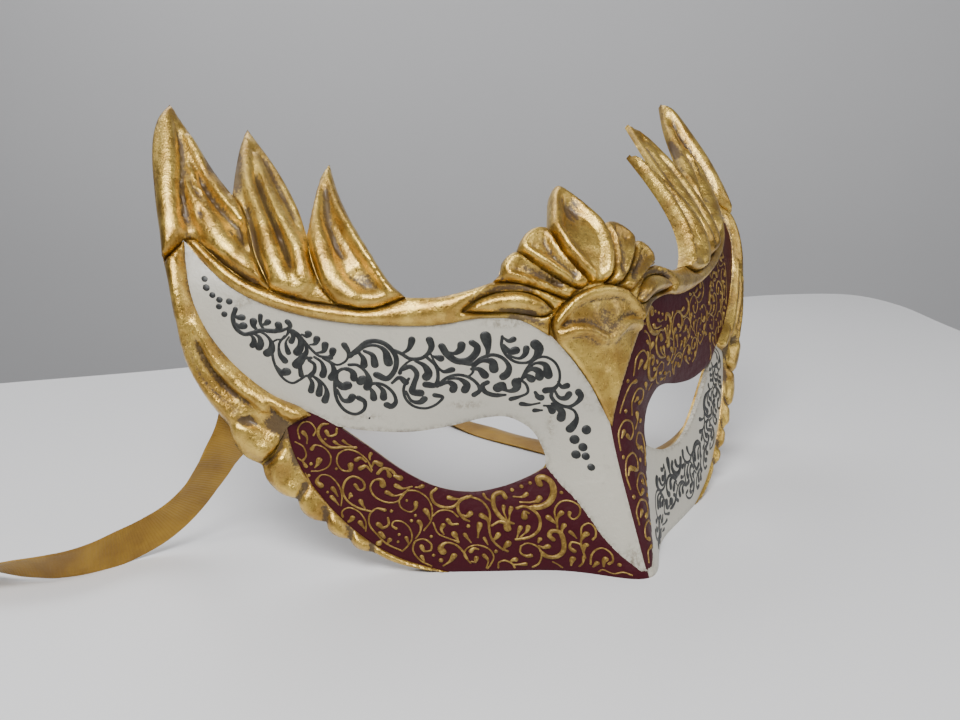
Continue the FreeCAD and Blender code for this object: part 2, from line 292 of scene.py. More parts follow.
# ---- pieces made from a pattern -----------------------------------------------------
@dataclass
class Pattern:
    """A piece cut out of the flat pattern and wrapped on the face."""

    name: str
    outline: np.ndarray
    holes: list[np.ndarray] = field(default_factory=list)
    cell: float = 0.8
    rims: tuple[float, ...] = (0.25, 0.35)

    def sheet(self) -> bmesh.types.BMesh:
        """The flat sheet, in nearly square cells with narrow loops along its edges."""
        bm = bmesh.new()
        for ring in [self.outline, *self.holes]:
            verts = [bm.verts.new((x, z, 0)) for x, z in ring]
            for a, b in zip(verts, verts[1:] + verts[:1]):
                bm.edges.new((a, b))
        bmesh.ops.triangle_fill(bm, edges=bm.edges[:], use_beauty=True)
        mark = bm.edges.layers.int.new("diagonal")
        for edge in bm.edges:
            edge[mark] = int(len(edge.link_faces) == 2)
        for width in self.rims:
            inner = [f for f in bm.faces if not f.tag]
            made = bmesh.ops.inset_region(bm, faces=inner, thickness=width, use_even_offset=False)
            for face in made["faces"]:
                face.tag = True
        low, high = self.outline.min(0), self.outline.max(0)
        for axis in (0, 1):
            square = Vector((1 - axis, axis, 0))
            for at in np.arange(low[axis] + self.cell / 2, high[axis], self.cell):
                geom = bm.verts[:] + bm.edges[:] + bm.faces[:]
                bmesh.ops.bisect_plane(bm, geom=geom, dist=1e-4, plane_co=square * float(at), plane_no=square)
        spare = [e for e in bm.edges if e[mark] and len(e.link_faces) == 2]
        bmesh.ops.dissolve_edges(bm, edges=spare, use_verts=True)
        bmesh.ops.recalc_face_normals(bm, faces=bm.faces[:])
        return bm

    def build(self, relief: Relief | None, top: float, back: float,
              finishes: list[bpy.types.Material]) -> bpy.types.Object:
        """Thickens the sheet, models its front and wraps it on the face.

        Args:
            relief: the front's relief, or None for a smooth front; top: the smooth
                front's height; back: the height of the back, negative; finishes: one
                material, or two, the second for the back.
        Returns:
            The piece.
        """
        bm = self.sheet()
        made = bmesh.ops.extrude_face_region(bm, geom=bm.faces[:], use_keep_orig=True)
        front = [g for g in made["geom"] if isinstance(g, bmesh.types.BMVert)]
        bmesh.ops.translate(bm, verts=front, vec=(0, 0, 1))
        bmesh.ops.recalc_face_normals(bm, faces=bm.faces[:])
        if len(finishes) > 1:
            for face in bm.faces:
                face.material_index = int(all(v.co.z < 0.5 for v in face.verts))
        flat = np.array([v.co for v in bm.verts])
        is_front = flat[:, 2] > 0.5
        x, z = flat[:, 0], flat[:, 1]
        height = np.where(is_front, top, back)
        dark = np.zeros(len(x))
        if relief is not None:
            edge = distance_to(np.vstack([self.outline, self.outline[:1]]), x, z)[0]
            high, dark = relief.heights(np.abs(x), z, edge)
            height = np.where(is_front, high, back)
        flat[:, 2] = height
        layer = bm.verts.layers.float.new("patina")
        for vert, place, value in zip(bm.verts, FACE.wrap(flat), dark):
            vert.co = place
            vert[layer] = value
        bmesh.ops.recalc_face_normals(bm, faces=bm.faces[:])
        return finish_mesh(bm, self.name, *finishes)


# ---- outlines, for positive x -------------------------------------------------------
SPEAR_EDGE = [(2.6, 89.4), (6.0, 85.1), (7.9, 82.4)]
UPPER_LOBE_EDGE = [(10.6, 82.7), (13.2, 81.9), (15.8, 80.2), (18.0, 77.8)]
LOWER_LOBE_EDGE = [(20.6, 76.7), (22.4, 75.1), (23.4, 73.0), (25.2, 71.4)]
RIM_EDGE = [(28.5, 70.1), (33.0, 68.8), (38.0, 67.8), (44.5, 68.0)]
INNER_FLAME_IN = [(47.3, 71.6), (49.2, 77.0), (50.6, 84.0), (50.7, 91.0), (49.6, 98.0)]
INNER_FLAME_OUT = [(53.6, 93.9), (58.0, 87.4), (61.4, 81.8)]
MIDDLE_FLAME_IN = [(61.0, 88.4), (61.9, 97.0), (64.6, 106.8)]
MIDDLE_FLAME_OUT = [(68.4, 102.3), (72.0, 96.4), (74.6, 91.2)]
OUTER_FLAME_IN = [(77.2, 96.8), (79.6, 104.3), (83.3, 113.3)]
OUTER_FLAME_OUT = [(87.6, 109.4), (90.6, 102.0), (92.6, 90.0), (93.4, 76.0)]
SIDE_EDGE = [(93.2, 64.0), (92.0, 53.0), (88.8, 44.3), (84.4, 36.8)]
SCALLOPS = [
    [(84.0, 33.0), (81.8, 29.4), (78.7, 27.4)],
    [(77.8, 23.6), (75.2, 20.2), (71.8, 18.8)],
    [(71.2, 15.9), (69.2, 13.8), (66.2, 13.0)],
    [(65.8, 10.8), (64.0, 9.2), (61.5, 8.7)],
    [(60.9, 7.0), (59.3, 5.8), (57.0, 5.4)],
]
LOWER_RIM = [(52.5, 2.7), (46.7, 0.8), (41.0, 0.0)]
EYE_LOWER = [(20.0, 22.9), (26.0, 20.6), (33.4, 19.5), (41.0, 21.0), (48.0, 25.0),
             (55.0, 31.0), (61.7, 36.8)]
EYE_UPPER = [(55.0, 35.6), (45.8, 35.0), (37.0, 36.0), (29.0, 37.9), (23.6, 37.9),
             (18.6, 34.4), (16.2, 29.0), (16.2, 25.2)]
BROW_TOP = [(0.0, 36.0), (2.2, 39.6), (4.6, 44.6), (7.4, 49.2), (10.8, 54.2),
            (15.0, 59.2), (20.4, 62.8), (29.5, 63.8), (38.0, 62.3), (47.0, 62.1),
            (57.0, 62.8), (66.0, 64.4), (75.6, 67.8), (83.0, 73.0), (88.6, 81.6)]
BROW_SIDE = [(89.4, 75.4), (90.1, 69.9), (89.4, 65.3), (87.8, 60.5), (85.4, 55.6),
             (82.6, 51.3), (79.2, 47.4), (75.6, 44.2), (71.9, 42.2), (68.6, 40.9),
             (65.4, 39.3), (61.7, 36.8)]
NOSE_SEAM = [(13.8, 20.8), (11.5, 17.4), (9.4, 12.9), (7.4, 8.5), (4.9, 4.9), (1.7, 1.6)]
CHEEK_SIDE = [(65.4, 39.9), (68.4, 40.4), (71.4, 38.6), (73.0, 35.0), (72.9, 30.8),
              (70.9, 24.9), (68.2, 19.7), (64.9, 14.6), (61.0, 9.5), (56.2, 5.0),
              (51.0, 2.2)]


@dataclass
class ShellLining:
    """The bare paper inside of the whole mask, with its outline and eye openings."""

    front: float = -1.5
    back: float = -2.4

    def build(self, edge: bpy.types.Material, paper: bpy.types.Material) -> None:
        """Makes the lining.

        Args:
            edge: the finish of its cut edge; paper: the finish of the inside.
        """
        half = [SPEAR_EDGE, UPPER_LOBE_EDGE, LOWER_LOBE_EDGE, RIM_EDGE, INNER_FLAME_IN,
                INNER_FLAME_OUT, MIDDLE_FLAME_IN, MIDDLE_FLAME_OUT, OUTER_FLAME_IN,
                OUTER_FLAME_OUT, SIDE_EDGE, *SCALLOPS, LOWER_RIM]
        right = [(0.0, 91.4)]
        for run in half:
            right.extend(smooth_run([right[-1], *run], 0.8)[1:].tolist())
        right.append((0.0, 0.0))
        left = [(-x, z) for x, z in right[1:-1]][::-1]
        eye = closed_outline([EYE_LOWER, EYE_UPPER])
        other = eye * np.array([-1.0, 1.0])
        piece = Pattern("shell_lining", np.array(right + left), [eye, other], cell=1.6,
                        rims=(0.4,)).build(None, self.front, self.back, [edge, paper])
        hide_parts("face_shell")


@dataclass
class PaintedPanels:
    """The four painted fields. White and burgundy change places across the nose."""

    height: float = 0.12
    back: float = -1.6
    # Darker patches on the white fields, colour only with no dent: under the gilt rim, above the eye
    # openings, beside the inner eye corners and the boss, and at the nose tip.
    dark_patches: tuple[Dent, ...] = (
        Dent((24.0, 61.6), (5.0, 1.1), 0.0, 0.9), Dent((33.5, 41.6), (4.0, 0.9), 0.0, 0.8),
        Dent((39.0, 61.4), (3.0, 0.7), 0.0, 0.6), Dent((56.0, 39.2), (5.0, 0.9), 0.0, 0.6),
        Dent((2.4, 4.6), (1.6, 3.0), 0.0, 0.8), Dent((78.0, 67.2), (4.0, 1.0), 0.0, 0.7, -25),
        Dent((14.6, 36.0), (0.9, 4.0), 0.0, 0.7), Dent((6.6, 42.0), (1.1, 4.0), 0.0, 0.5, -30))

    def outline(self, part: str, under: float) -> Runs:
        """The runs of a field's outline for positive x.

        Args:
            part: brow or cheek; under: how far it reaches past the middle line.
        Returns:
            The runs.
        """
        if part == "brow":
            return [BROW_TOP, BROW_SIDE, EYE_UPPER, NOSE_SEAM, [(-under, 1.6)], [(-under, 35.0)]]
        return [EYE_LOWER, CHEEK_SIDE, [(45.6, 0.4), (41.0, 0.0)], [(0.0, 0.0)], [(0.0, 3.0)],
                [(3.6, 5.4), (6.4, 9.2), (8.4, 13.4), (10.4, 17.6), (12.6, 21.6), (15.6, 25.4)]]

    def build(self, white: bpy.types.Material, burgundy: bpy.types.Material) -> None:
        """Makes the fields.

        Args:
            white, burgundy: the two paints.
        """
        for side in Side:
            for part, lift in (("brow", 0.0), ("cheek", -0.05)):
                is_white = (part == "brow") == (side is Side.LEFT)
                under = 0.0 if is_white else 0.8
                runs = self.outline(part, under)
                outline = closed_outline(runs) * np.array([side.value, 1.0])
                top = self.height + lift - (0.0 if is_white else 0.03)
                worn = Relief(base=top, lip=top - 0.1, round_edge=0.3, edge_dark=0.62 if is_white else 0.3,
                              dents=self.dark_patches if is_white else ())
                piece = Pattern(f"paint_{part}_{side.word}", outline, cell=1.0, rims=(0.35,)).build(
                    worn, top, self.back, [white if is_white else burgundy])
                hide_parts("face_shell")


@dataclass
class Ornament:
    """One modelled and gilded piece, named for the CAD part it stands for."""

    node: str
    runs: Runs
    relief: Relief
    cell: float = 0.6

    def build(self, gold: bpy.types.Material) -> None:
        """Makes the piece, and its mirror image if its name asks for sides.

        Args:
            gold: its finish.
        """
        sides = [(Side.LEFT, "_left"), (Side.RIGHT, "_right")] if self.node[-1] == "_" else [(Side.RIGHT, "")]
        for side, ending in sides:
            name = self.node.rstrip("_") + ending
            outline = closed_outline(self.runs, 0.45) * np.array([side.value, 1.0])
            piece = Pattern("gilt_" + name, outline, cell=self.cell).build(self.relief, 0.0, -1.6, [gold])
            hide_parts(name)


class Palmette:
    """The palmette over the nose: spear, lobes and boss."""

    def pieces(self) -> list[Ornament]:
        """Its ornaments."""
        spear = [[(-2.6, 89.4), (-6.0, 85.1), (-7.9, 82.4)], [(-7.2, 77.4), (-4.6, 72.6), (-2.2, 70.2)],
                 [(2.2, 70.2)], [(4.6, 72.6), (7.2, 77.4), (7.9, 82.4)],
                 [(6.0, 85.1), (2.6, 89.4), (0.0, 91.4)]]
        upper = [[(10.6, 82.7), (13.2, 81.9), (15.8, 80.2), (18.0, 77.8)],
                 [(14.0, 74.4), (8.4, 70.2), (5.0, 69.0)], [(2.8, 69.9)],
                 [(5.2, 72.6), (7.8, 77.6), (8.2, 82.5)]]
        lower = [[(20.6, 76.7), (22.4, 75.1), (23.4, 73.0), (25.2, 71.4)],
                 [(20.0, 70.9), (14.0, 68.9), (9.4, 66.9)], [(5.6, 68.8)],
                 [(9.0, 70.0), (14.6, 74.2), (18.3, 77.7)]]
        boss = [[(13.4, 61.6), (9.2, 66.4), (5.2, 68.5), (0.0, 69.5), (-5.2, 68.5),
                 (-9.2, 66.4), (-13.4, 61.6), (-12.6, 56.6)],
                [(-8.4, 51.2), (-3.6, 43.0), (0.0, 34.5)], [(3.6, 43.0), (8.4, 51.2), (12.6, 56.6)]]
        spear_relief = Relief(
            base=1.7, round_edge=1.4, edge_dark=0.2,
            ridges=(Ridge([(0.0, 90.0), (3.6, 86.2), (6.3, 81.8), (5.4, 77.0), (2.8, 72.0)], (2.0, 2.1),
                          (1.9, 1.7)),),
            grooves=(Groove([(1.0, 88.0), (2.5, 85.6)], 0.7, 0.5, 0.75),
                     Groove([(0.4, 87.4), (1.2, 83.4)], 0.6, 0.4, 0.8)),
            dents=(Dent((0.0, 85.0), (2.2, 3.4), 0.5, 0.62), Dent((0.0, 74.4), (2.2, 3.4), 0.5, 0.2)))
        upper_relief = Relief(
            base=1.5, round_edge=1.2, edge_dark=0.4,
            ridges=(Ridge([(5.0, 71.0), (8.6, 76.6), (9.6, 81.0), (13.4, 80.6), (16.0, 78.0), (12.0, 74.6),
                           (6.4, 70.6)], (1.5, 1.5), (1.5, 1.4)),),
            grooves=(Groove([(12.8, 79.0), (10.6, 77.8), (8.6, 74.4), (7.0, 71.6)], 1.5, 0.7, 0.45),),
            dents=(Dent((11.4, 78.6), (2.2, 1.6), -0.5, 0.0, 30),
                   Dent((7.2, 71.9), (1.0, 1.7), 0.7, 0.7, 30)))
        lower_relief = Relief(
            base=1.4, round_edge=1.2, edge_dark=0.4,
            ridges=(Ridge([(8.2, 69.6), (13.6, 73.6), (17.8, 76.4), (21.0, 74.6), (21.4, 72.6),
                           (15.0, 70.0), (9.6, 68.2)], (1.4, 1.5), (1.4, 1.4)),),
            grooves=(Groove([(18.8, 74.2), (15.4, 72.8), (11.0, 70.2)], 1.2, 0.6, 0.5),),
            dents=(Dent((11.6, 70.2), (1.7, 1.0), 0.8, 0.95, 28),
                   Dent((17.0, 73.6), (2.4, 1.2), -0.6, 0.0, 25)))
        boss_relief = Relief(
            base=0.9, round_edge=0.9, edge_dark=0.18,
            ridges=(Ridge([(12.8, 61.2), (9.4, 65.4), (5.0, 67.6), (0.0, 68.4)], (1.7, 1.9), (1.5, 1.9)),
                    Ridge([(12.6, 58.0), (9.0, 59.4), (5.2, 59.2), (1.2, 56.8)], (1.7, 1.6), (1.3, 1.5))),
            grooves=(Groove([(13.0, 60.2), (9.4, 61.0), (5.4, 61.0), (2.6, 59.4), (0.0, 57.4)], 0.9, 0.5,
                            0.3),
                     Groove([(0.0, 56.0), (0.4, 48.0)], 0.9, 0.3, 0.2)),
            dents=(Dent((0.0, 62.4), (2.0, 3.4), 0.9, 0.42), Dent((0.0, 60.6), (8.5, 6.5), -0.9, 0.6)))
        return [Ornament("crest_spear", spear, spear_relief, 0.5),
                Ornament("crest_lobe_upper_", upper, upper_relief, 0.5),
                Ornament("crest_lobe_lower_", lower, lower_relief, 0.5),
                Ornament("crest_boss", boss, boss_relief)]


class Flames:
    """Three flames on each side that lean back over the temple."""

    def pieces(self) -> list[Ornament]:
        """Their ornaments."""
        inner = [INNER_FLAME_IN, INNER_FLAME_OUT, [(62.2, 76.5), (61.6, 71.0), (59.2, 66.3)],
                 [(52.0, 65.4), (44.5, 68.0)]]
        middle = [MIDDLE_FLAME_IN, MIDDLE_FLAME_OUT, [(73.2, 86.0), (73.7, 78.0), (72.4, 69.8)],
                  [(66.0, 67.4), (59.4, 66.3)], [(61.8, 71.0), (62.4, 76.5), (61.5, 81.8)]]
        outer = [OUTER_FLAME_IN, [(87.6, 109.4), (90.6, 102.0), (92.6, 90.0), (93.4, 76.0)],
                 [(88.2, 81.4)], [(85.9, 81.6)], [(79.0, 73.8), (72.6, 69.8)],
                 [(73.9, 78.0), (73.4, 86.0), (74.7, 91.2)]]
        inner_relief = Relief(
            base=1.1, round_edge=1.6,
            ridges=(Ridge([(50.6, 96.0), (54.8, 91.2), (58.3, 84.5), (59.7, 76.8), (58.8, 70.8),
                           (55.6, 67.6)], (2.2, 3.8), (1.2, 2.6)),
                    Ridge([(50.6, 95.5), (51.9, 87.0), (51.0, 80.1), (48.6, 74.2), (46.4, 69.6)],
                          (2.0, 3.0), (1.4, 2.6)),
                    Ridge([(46.4, 68.6), (50.4, 67.4), (56.4, 68.0)], (2.2, 2.4), (1.8, 2.0))),
            grooves=(Groove([(52.6, 93.0), (54.9, 87.9), (56.1, 84.4), (56.2, 79.3), (55.2, 75.4)], 0.8,
                            1.3, 0.85),),
            dents=(Dent((52.6, 71.6), (2.6, 2.2), 1.2, 0.42, 20),
                   Dent((53.6, 81.0), (1.5, 5.0), 0.2, 0.15, -12)))
        middle_relief = Relief(
            base=1.0, round_edge=1.5,
            ridges=(Ridge([(66.4, 103.0), (69.4, 95.5), (69.8, 88.9), (70.0, 82.4), (70.2, 75.9),
                           (69.0, 71.6)], (1.8, 3.4), (1.0, 2.7)),
                    Ridge([(65.8, 99.0), (66.2, 90.0), (65.2, 81.9), (64.4, 77.6), (65.2, 72.6)],
                          (1.8, 2.8), (1.0, 2.4)),
                    Ridge([(63.6, 73.6), (66.6, 70.4), (70.8, 71.4)], (2.0, 2.4), (1.8, 2.2))),
            grooves=(Groove([(67.6, 96.5), (67.9, 88.0), (67.6, 81.9), (67.2, 76.8), (67.0, 73.8)], 0.8,
                            1.4, 0.85),
                     Groove([(64.0, 101.0), (63.4, 93.2), (62.9, 87.9), (62.6, 83.2)], 0.6, 0.8, 0.75),
                     Groove([(72.0, 89.4), (72.6, 84.0), (73.0, 78.0), (72.8, 72.6)], 0.7, 0.8, 0.85)),
            dents=(Dent((71.6, 95.4), (1.5, 5.5), 0.6, 0.75, 25),))
        outer_relief = Relief(
            base=1.0, round_edge=1.5,
            ridges=(Ridge([(84.6, 110.6), (86.4, 103.0), (89.0, 93.0), (90.4, 83.0), (91.4, 77.6)],
                          (2.4, 3.6), (1.4, 2.5)),
                    Ridge([(80.8, 104.0), (79.4, 97.0), (77.4, 90.0), (75.4, 86.0)], (1.6, 2.2), (1.0, 1.9)),
                    Ridge([(83.6, 96.0), (82.6, 88.0), (80.6, 81.0), (77.4, 75.0)], (2.4, 4.2), (1.2, 2.7)),
                    Ridge([(74.6, 90.0), (74.2, 84.0), (74.4, 77.0), (74.0, 72.4)], (1.3, 1.4), (1.6, 1.4))),
            grooves=(Groove([(83.8, 110.4), (83.8, 101.4), (86.4, 91.1), (87.2, 84.9), (87.4, 82.6)], 0.8,
                            1.2, 0.6),
                     Groove([(84.0, 98.2), (83.4, 92.8), (81.6, 88.6)], 0.7, 1.0, 0.6),
                     Groove([(81.7, 96.5), (80.4, 91.6), (78.0, 87.3), (75.9, 83.4), (75.6, 78.0)], 0.8,
                            1.2, 0.62),
                     Groove([(84.4, 79.4), (81.4, 75.9), (78.8, 73.6), (76.1, 71.5), (74.2, 70.6)], 0.95,
                            2.3, 1.0)),
            dents=(Dent((77.9, 98.2), (1.3, 6.0), 0.5, 0.8, 14), Dent((83.3, 85.9), (0.7, 1.2), 0.5, 0.9),
                   Dent((77.6, 82.0), (0.6, 1.1), 0.4, 0.8), Dent((86.2, 86.5), (1.0, 2.6), 0.4, 0.35)))
        return [Ornament("flame_inner_", inner, inner_relief),
                Ornament("flame_middle_", middle, middle_relief),
                Ornament("flame_outer_", outer, outer_relief)]


class Borders:
    """The gold rim over the brow with its leaf, and the borders at temple and cheek."""

    def pieces(self) -> list[Ornament]:
        """Their ornaments."""
        rim = [[(33.0, 68.9), (38.0, 67.9), (44.3, 67.8)],
               [(52.0, 65.1), (59.3, 66.0), (66.0, 67.1), (72.6, 69.5), (79.2, 73.5), (85.8, 81.2)],
               [(87.9, 81.2)],
               [(82.4, 72.2), (75.2, 66.9), (66.0, 63.6), (57.0, 61.9), (47.0, 61.2), (38.0, 61.4),
                (29.5, 62.8), (20.9, 62.3), (14.3, 58.2)],
               [(13.9, 61.6), (12.8, 63.8)], [(16.0, 62.8), (22.0, 63.8), (28.0, 64.0), (33.6, 64.3)],
               [(29.4, 67.3), (24.6, 69.0), (19.6, 69.1), (15.6, 67.6), (12.4, 64.4)], [(9.8, 66.5)],
               [(14.2, 68.7), (20.0, 70.7), (25.4, 71.2)], [(28.5, 70.2)]]
        leaf = [[(29.2, 67.0), (24.6, 68.7), (19.6, 68.8), (15.8, 67.3), (12.9, 64.2)],
                [(16.0, 63.1), (22.0, 64.1), (28.0, 64.3), (32.6, 64.4)]]
        temple = [[(92.0, 53.0), (88.8, 44.3), (84.4, 36.8)], [(84.0, 33.0), (81.8, 29.4), (78.8, 27.6)],
                  [(76.0, 30.2), (73.6, 34.4)], [(72.3, 36.6), (70.2, 38.0), (67.0, 39.6)],
                  [(69.4, 41.8), (75.1, 45.0), (81.9, 51.9), (87.0, 60.6), (89.2, 69.9), (88.2, 81.0)],
                  [(93.4, 75.8)], [(93.4, 70.0), (93.2, 64.0)]]
        cheek = [[(77.8, 23.6), (75.2, 20.2), (71.8, 18.8)], [(71.2, 15.9), (69.2, 13.8), (66.2, 13.0)],
                 [(65.8, 10.8), (64.0, 9.2), (61.5, 8.7)], [(60.9, 7.0), (59.3, 5.8), (57.0, 5.4)],
                 [(52.5, 2.7), (46.7, 0.8), (41.0, 0.0)],
                 [(44.9, 1.3), (50.8, 3.5), (55.7, 6.6), (60.2, 10.7), (64.2, 15.5), (67.3, 20.4),
                  (70.0, 25.4), (71.7, 30.8), (72.4, 36.6)], [(75.6, 30.1), (78.5, 27.3)]]
        rim_relief = Relief(
            base=1.3, round_edge=1.7, edge_dark=0.25,
            ridges=(Ridge([(84.0, 77.4), (78.6, 71.6), (72.0, 67.8), (62.0, 64.9), (50.0, 63.6),
                           (40.0, 64.6), (33.0, 66.4), (28.0, 68.8)], (1.6, 2.6), (0.5, 0.9)),),
            grooves=(Groove([(33.0, 65.6), (29.4, 67.6), (25.9, 69.2), (20.6, 69.9), (15.0, 68.4)], 0.6,
                            0.6, 0.7),
                     Groove([(72.0, 69.0), (62.0, 66.1), (54.0, 65.4), (47.0, 66.6)], 0.7, 0.5, 0.5),
                     Groove([(24.0, 63.2), (19.0, 62.6), (14.6, 60.6)], 0.8, 0.6, 0.75)),
            dents=(Dent((72.6, 68.0), (2.0, 0.9), 0.2, 0.4, 20),))
        leaf_relief = Relief(
            base=1.4, round_edge=1.6, edge_dark=0.45,
            ridges=(Ridge([(31.0, 65.2), (26.0, 66.6), (20.0, 66.8), (15.0, 65.2)], (1.6, 2.6), (0.8, 1.5)),),
            grooves=(Groove([(25.6, 64.8), (20.6, 64.4), (16.0, 63.8)], 0.6, 0.4, 0.8),),
            dents=(Dent((15.4, 64.8), (1.6, 1.0), 0.5, 0.6),))
        temple_relief = Relief(
            base=1.0, round_edge=1.6, edge_dark=0.3,
            ridges=(Ridge([(91.2, 78.0), (92.0, 68.0), (91.0, 57.0), (87.6, 46.6), (82.6, 39.4)],
                          (2.2, 2.6), (1.6, 1.8)),
                    Ridge([(89.0, 62.0), (86.4, 54.0), (81.6, 46.8), (76.4, 42.4)], (1.6, 2.4), (1.0, 1.7)),
                    Ridge([(74.0, 43.4), (72.0, 41.0), (69.2, 39.6)], (2.4, 2.0), (1.5, 1.4)),
                    Ridge([(81.6, 36.0), (79.4, 32.6), (76.8, 30.6)], (3.4, 2.6), (2.0, 1.6))),
            grooves=(Groove([(89.8, 60.0), (87.4, 52.6), (83.9, 46.9), (80.2, 43.4), (76.6, 40.9)], 0.8,
                            1.0, 0.7),
                     Groove([(91.6, 62.0), (89.4, 51.5), (86.0, 45.4), (81.6, 40.9), (77.7, 38.4)], 0.6,
                            0.7, 0.6),
                     Groove([(84.4, 42.0), (80.6, 38.6), (77.6, 36.6)], 0.7, 0.7, 0.6),
                     Groove([(75.4, 42.8), (74.4, 39.8), (73.0, 37.6)], 0.6, 0.9, 0.7)),
            dents=(Dent((80.6, 38.4), (1.8, 1.1), 0.9, 1.3, 20), Dent((74.4, 37.3), (2.8, 2.2), 1.6, 1.4, 20),
                   Dent((73.2, 33.2), (0.9, 2.4), 0.7, 0.8, -20),
                   Dent((83.4, 48.2), (2.6, 1.2), 0.2, 0.4, 50)))
        notch = 0.8
        cheek_relief = Relief(
            base=1.1, round_edge=1.6, edge_dark=0.3,
            ridges=(Ridge([(74.4, 28.6), (74.6, 23.8), (72.4, 21.0)], (2.6, 2.4), (1.6, 1.2)),
                    Ridge([(70.0, 19.0), (68.8, 16.0)], (2.2, 1.8), (1.0, 1.1)),
                    Ridge([(64.8, 13.0), (63.2, 11.0)], (1.9, 1.6), (0.9, 0.9)),
                    Ridge([(60.0, 8.6), (58.6, 7.4)], (1.6, 1.4), (0.8, 0.8))),
            grooves=(Groove([(78.9, 27.4), (76.0, 29.6), (73.6, 33.4)], notch, 1.4, 0.9),
                     Groove([(72.2, 18.2), (70.6, 20.6), (69.6, 23.6)], notch, 1.1, 0.75),
                     Groove([(66.4, 12.6), (66.0, 15.2), (66.4, 17.6)], notch, 0.9, 0.6),
                     Groove([(61.4, 8.2), (61.2, 10.2), (61.8, 12.2)], notch, 0.8, 0.5),
                     Groove([(56.8, 5.0), (56.9, 6.6), (57.4, 8.0)], notch, 0.6, 0.5)),
            dents=(Dent((71.6, 30.0), (0.8, 4.0), 0.3, 0.6, -4),
                   Dent((74.8, 35.6), (2.6, 2.4), 0.8, 1.3, 20)))
        return [Ornament("forehead_rim_", rim, rim_relief, 0.7),
                Ornament("brow_leaf_", leaf, leaf_relief, 0.5),
                Ornament("temple_border_", temple, temple_relief),
                Ornament("cheek_border_", cheek, cheek_relief, 0.5)]


# ---- scrollwork ---------------------------------------------------------------------
Curl = tuple[float, float, list[Point]]

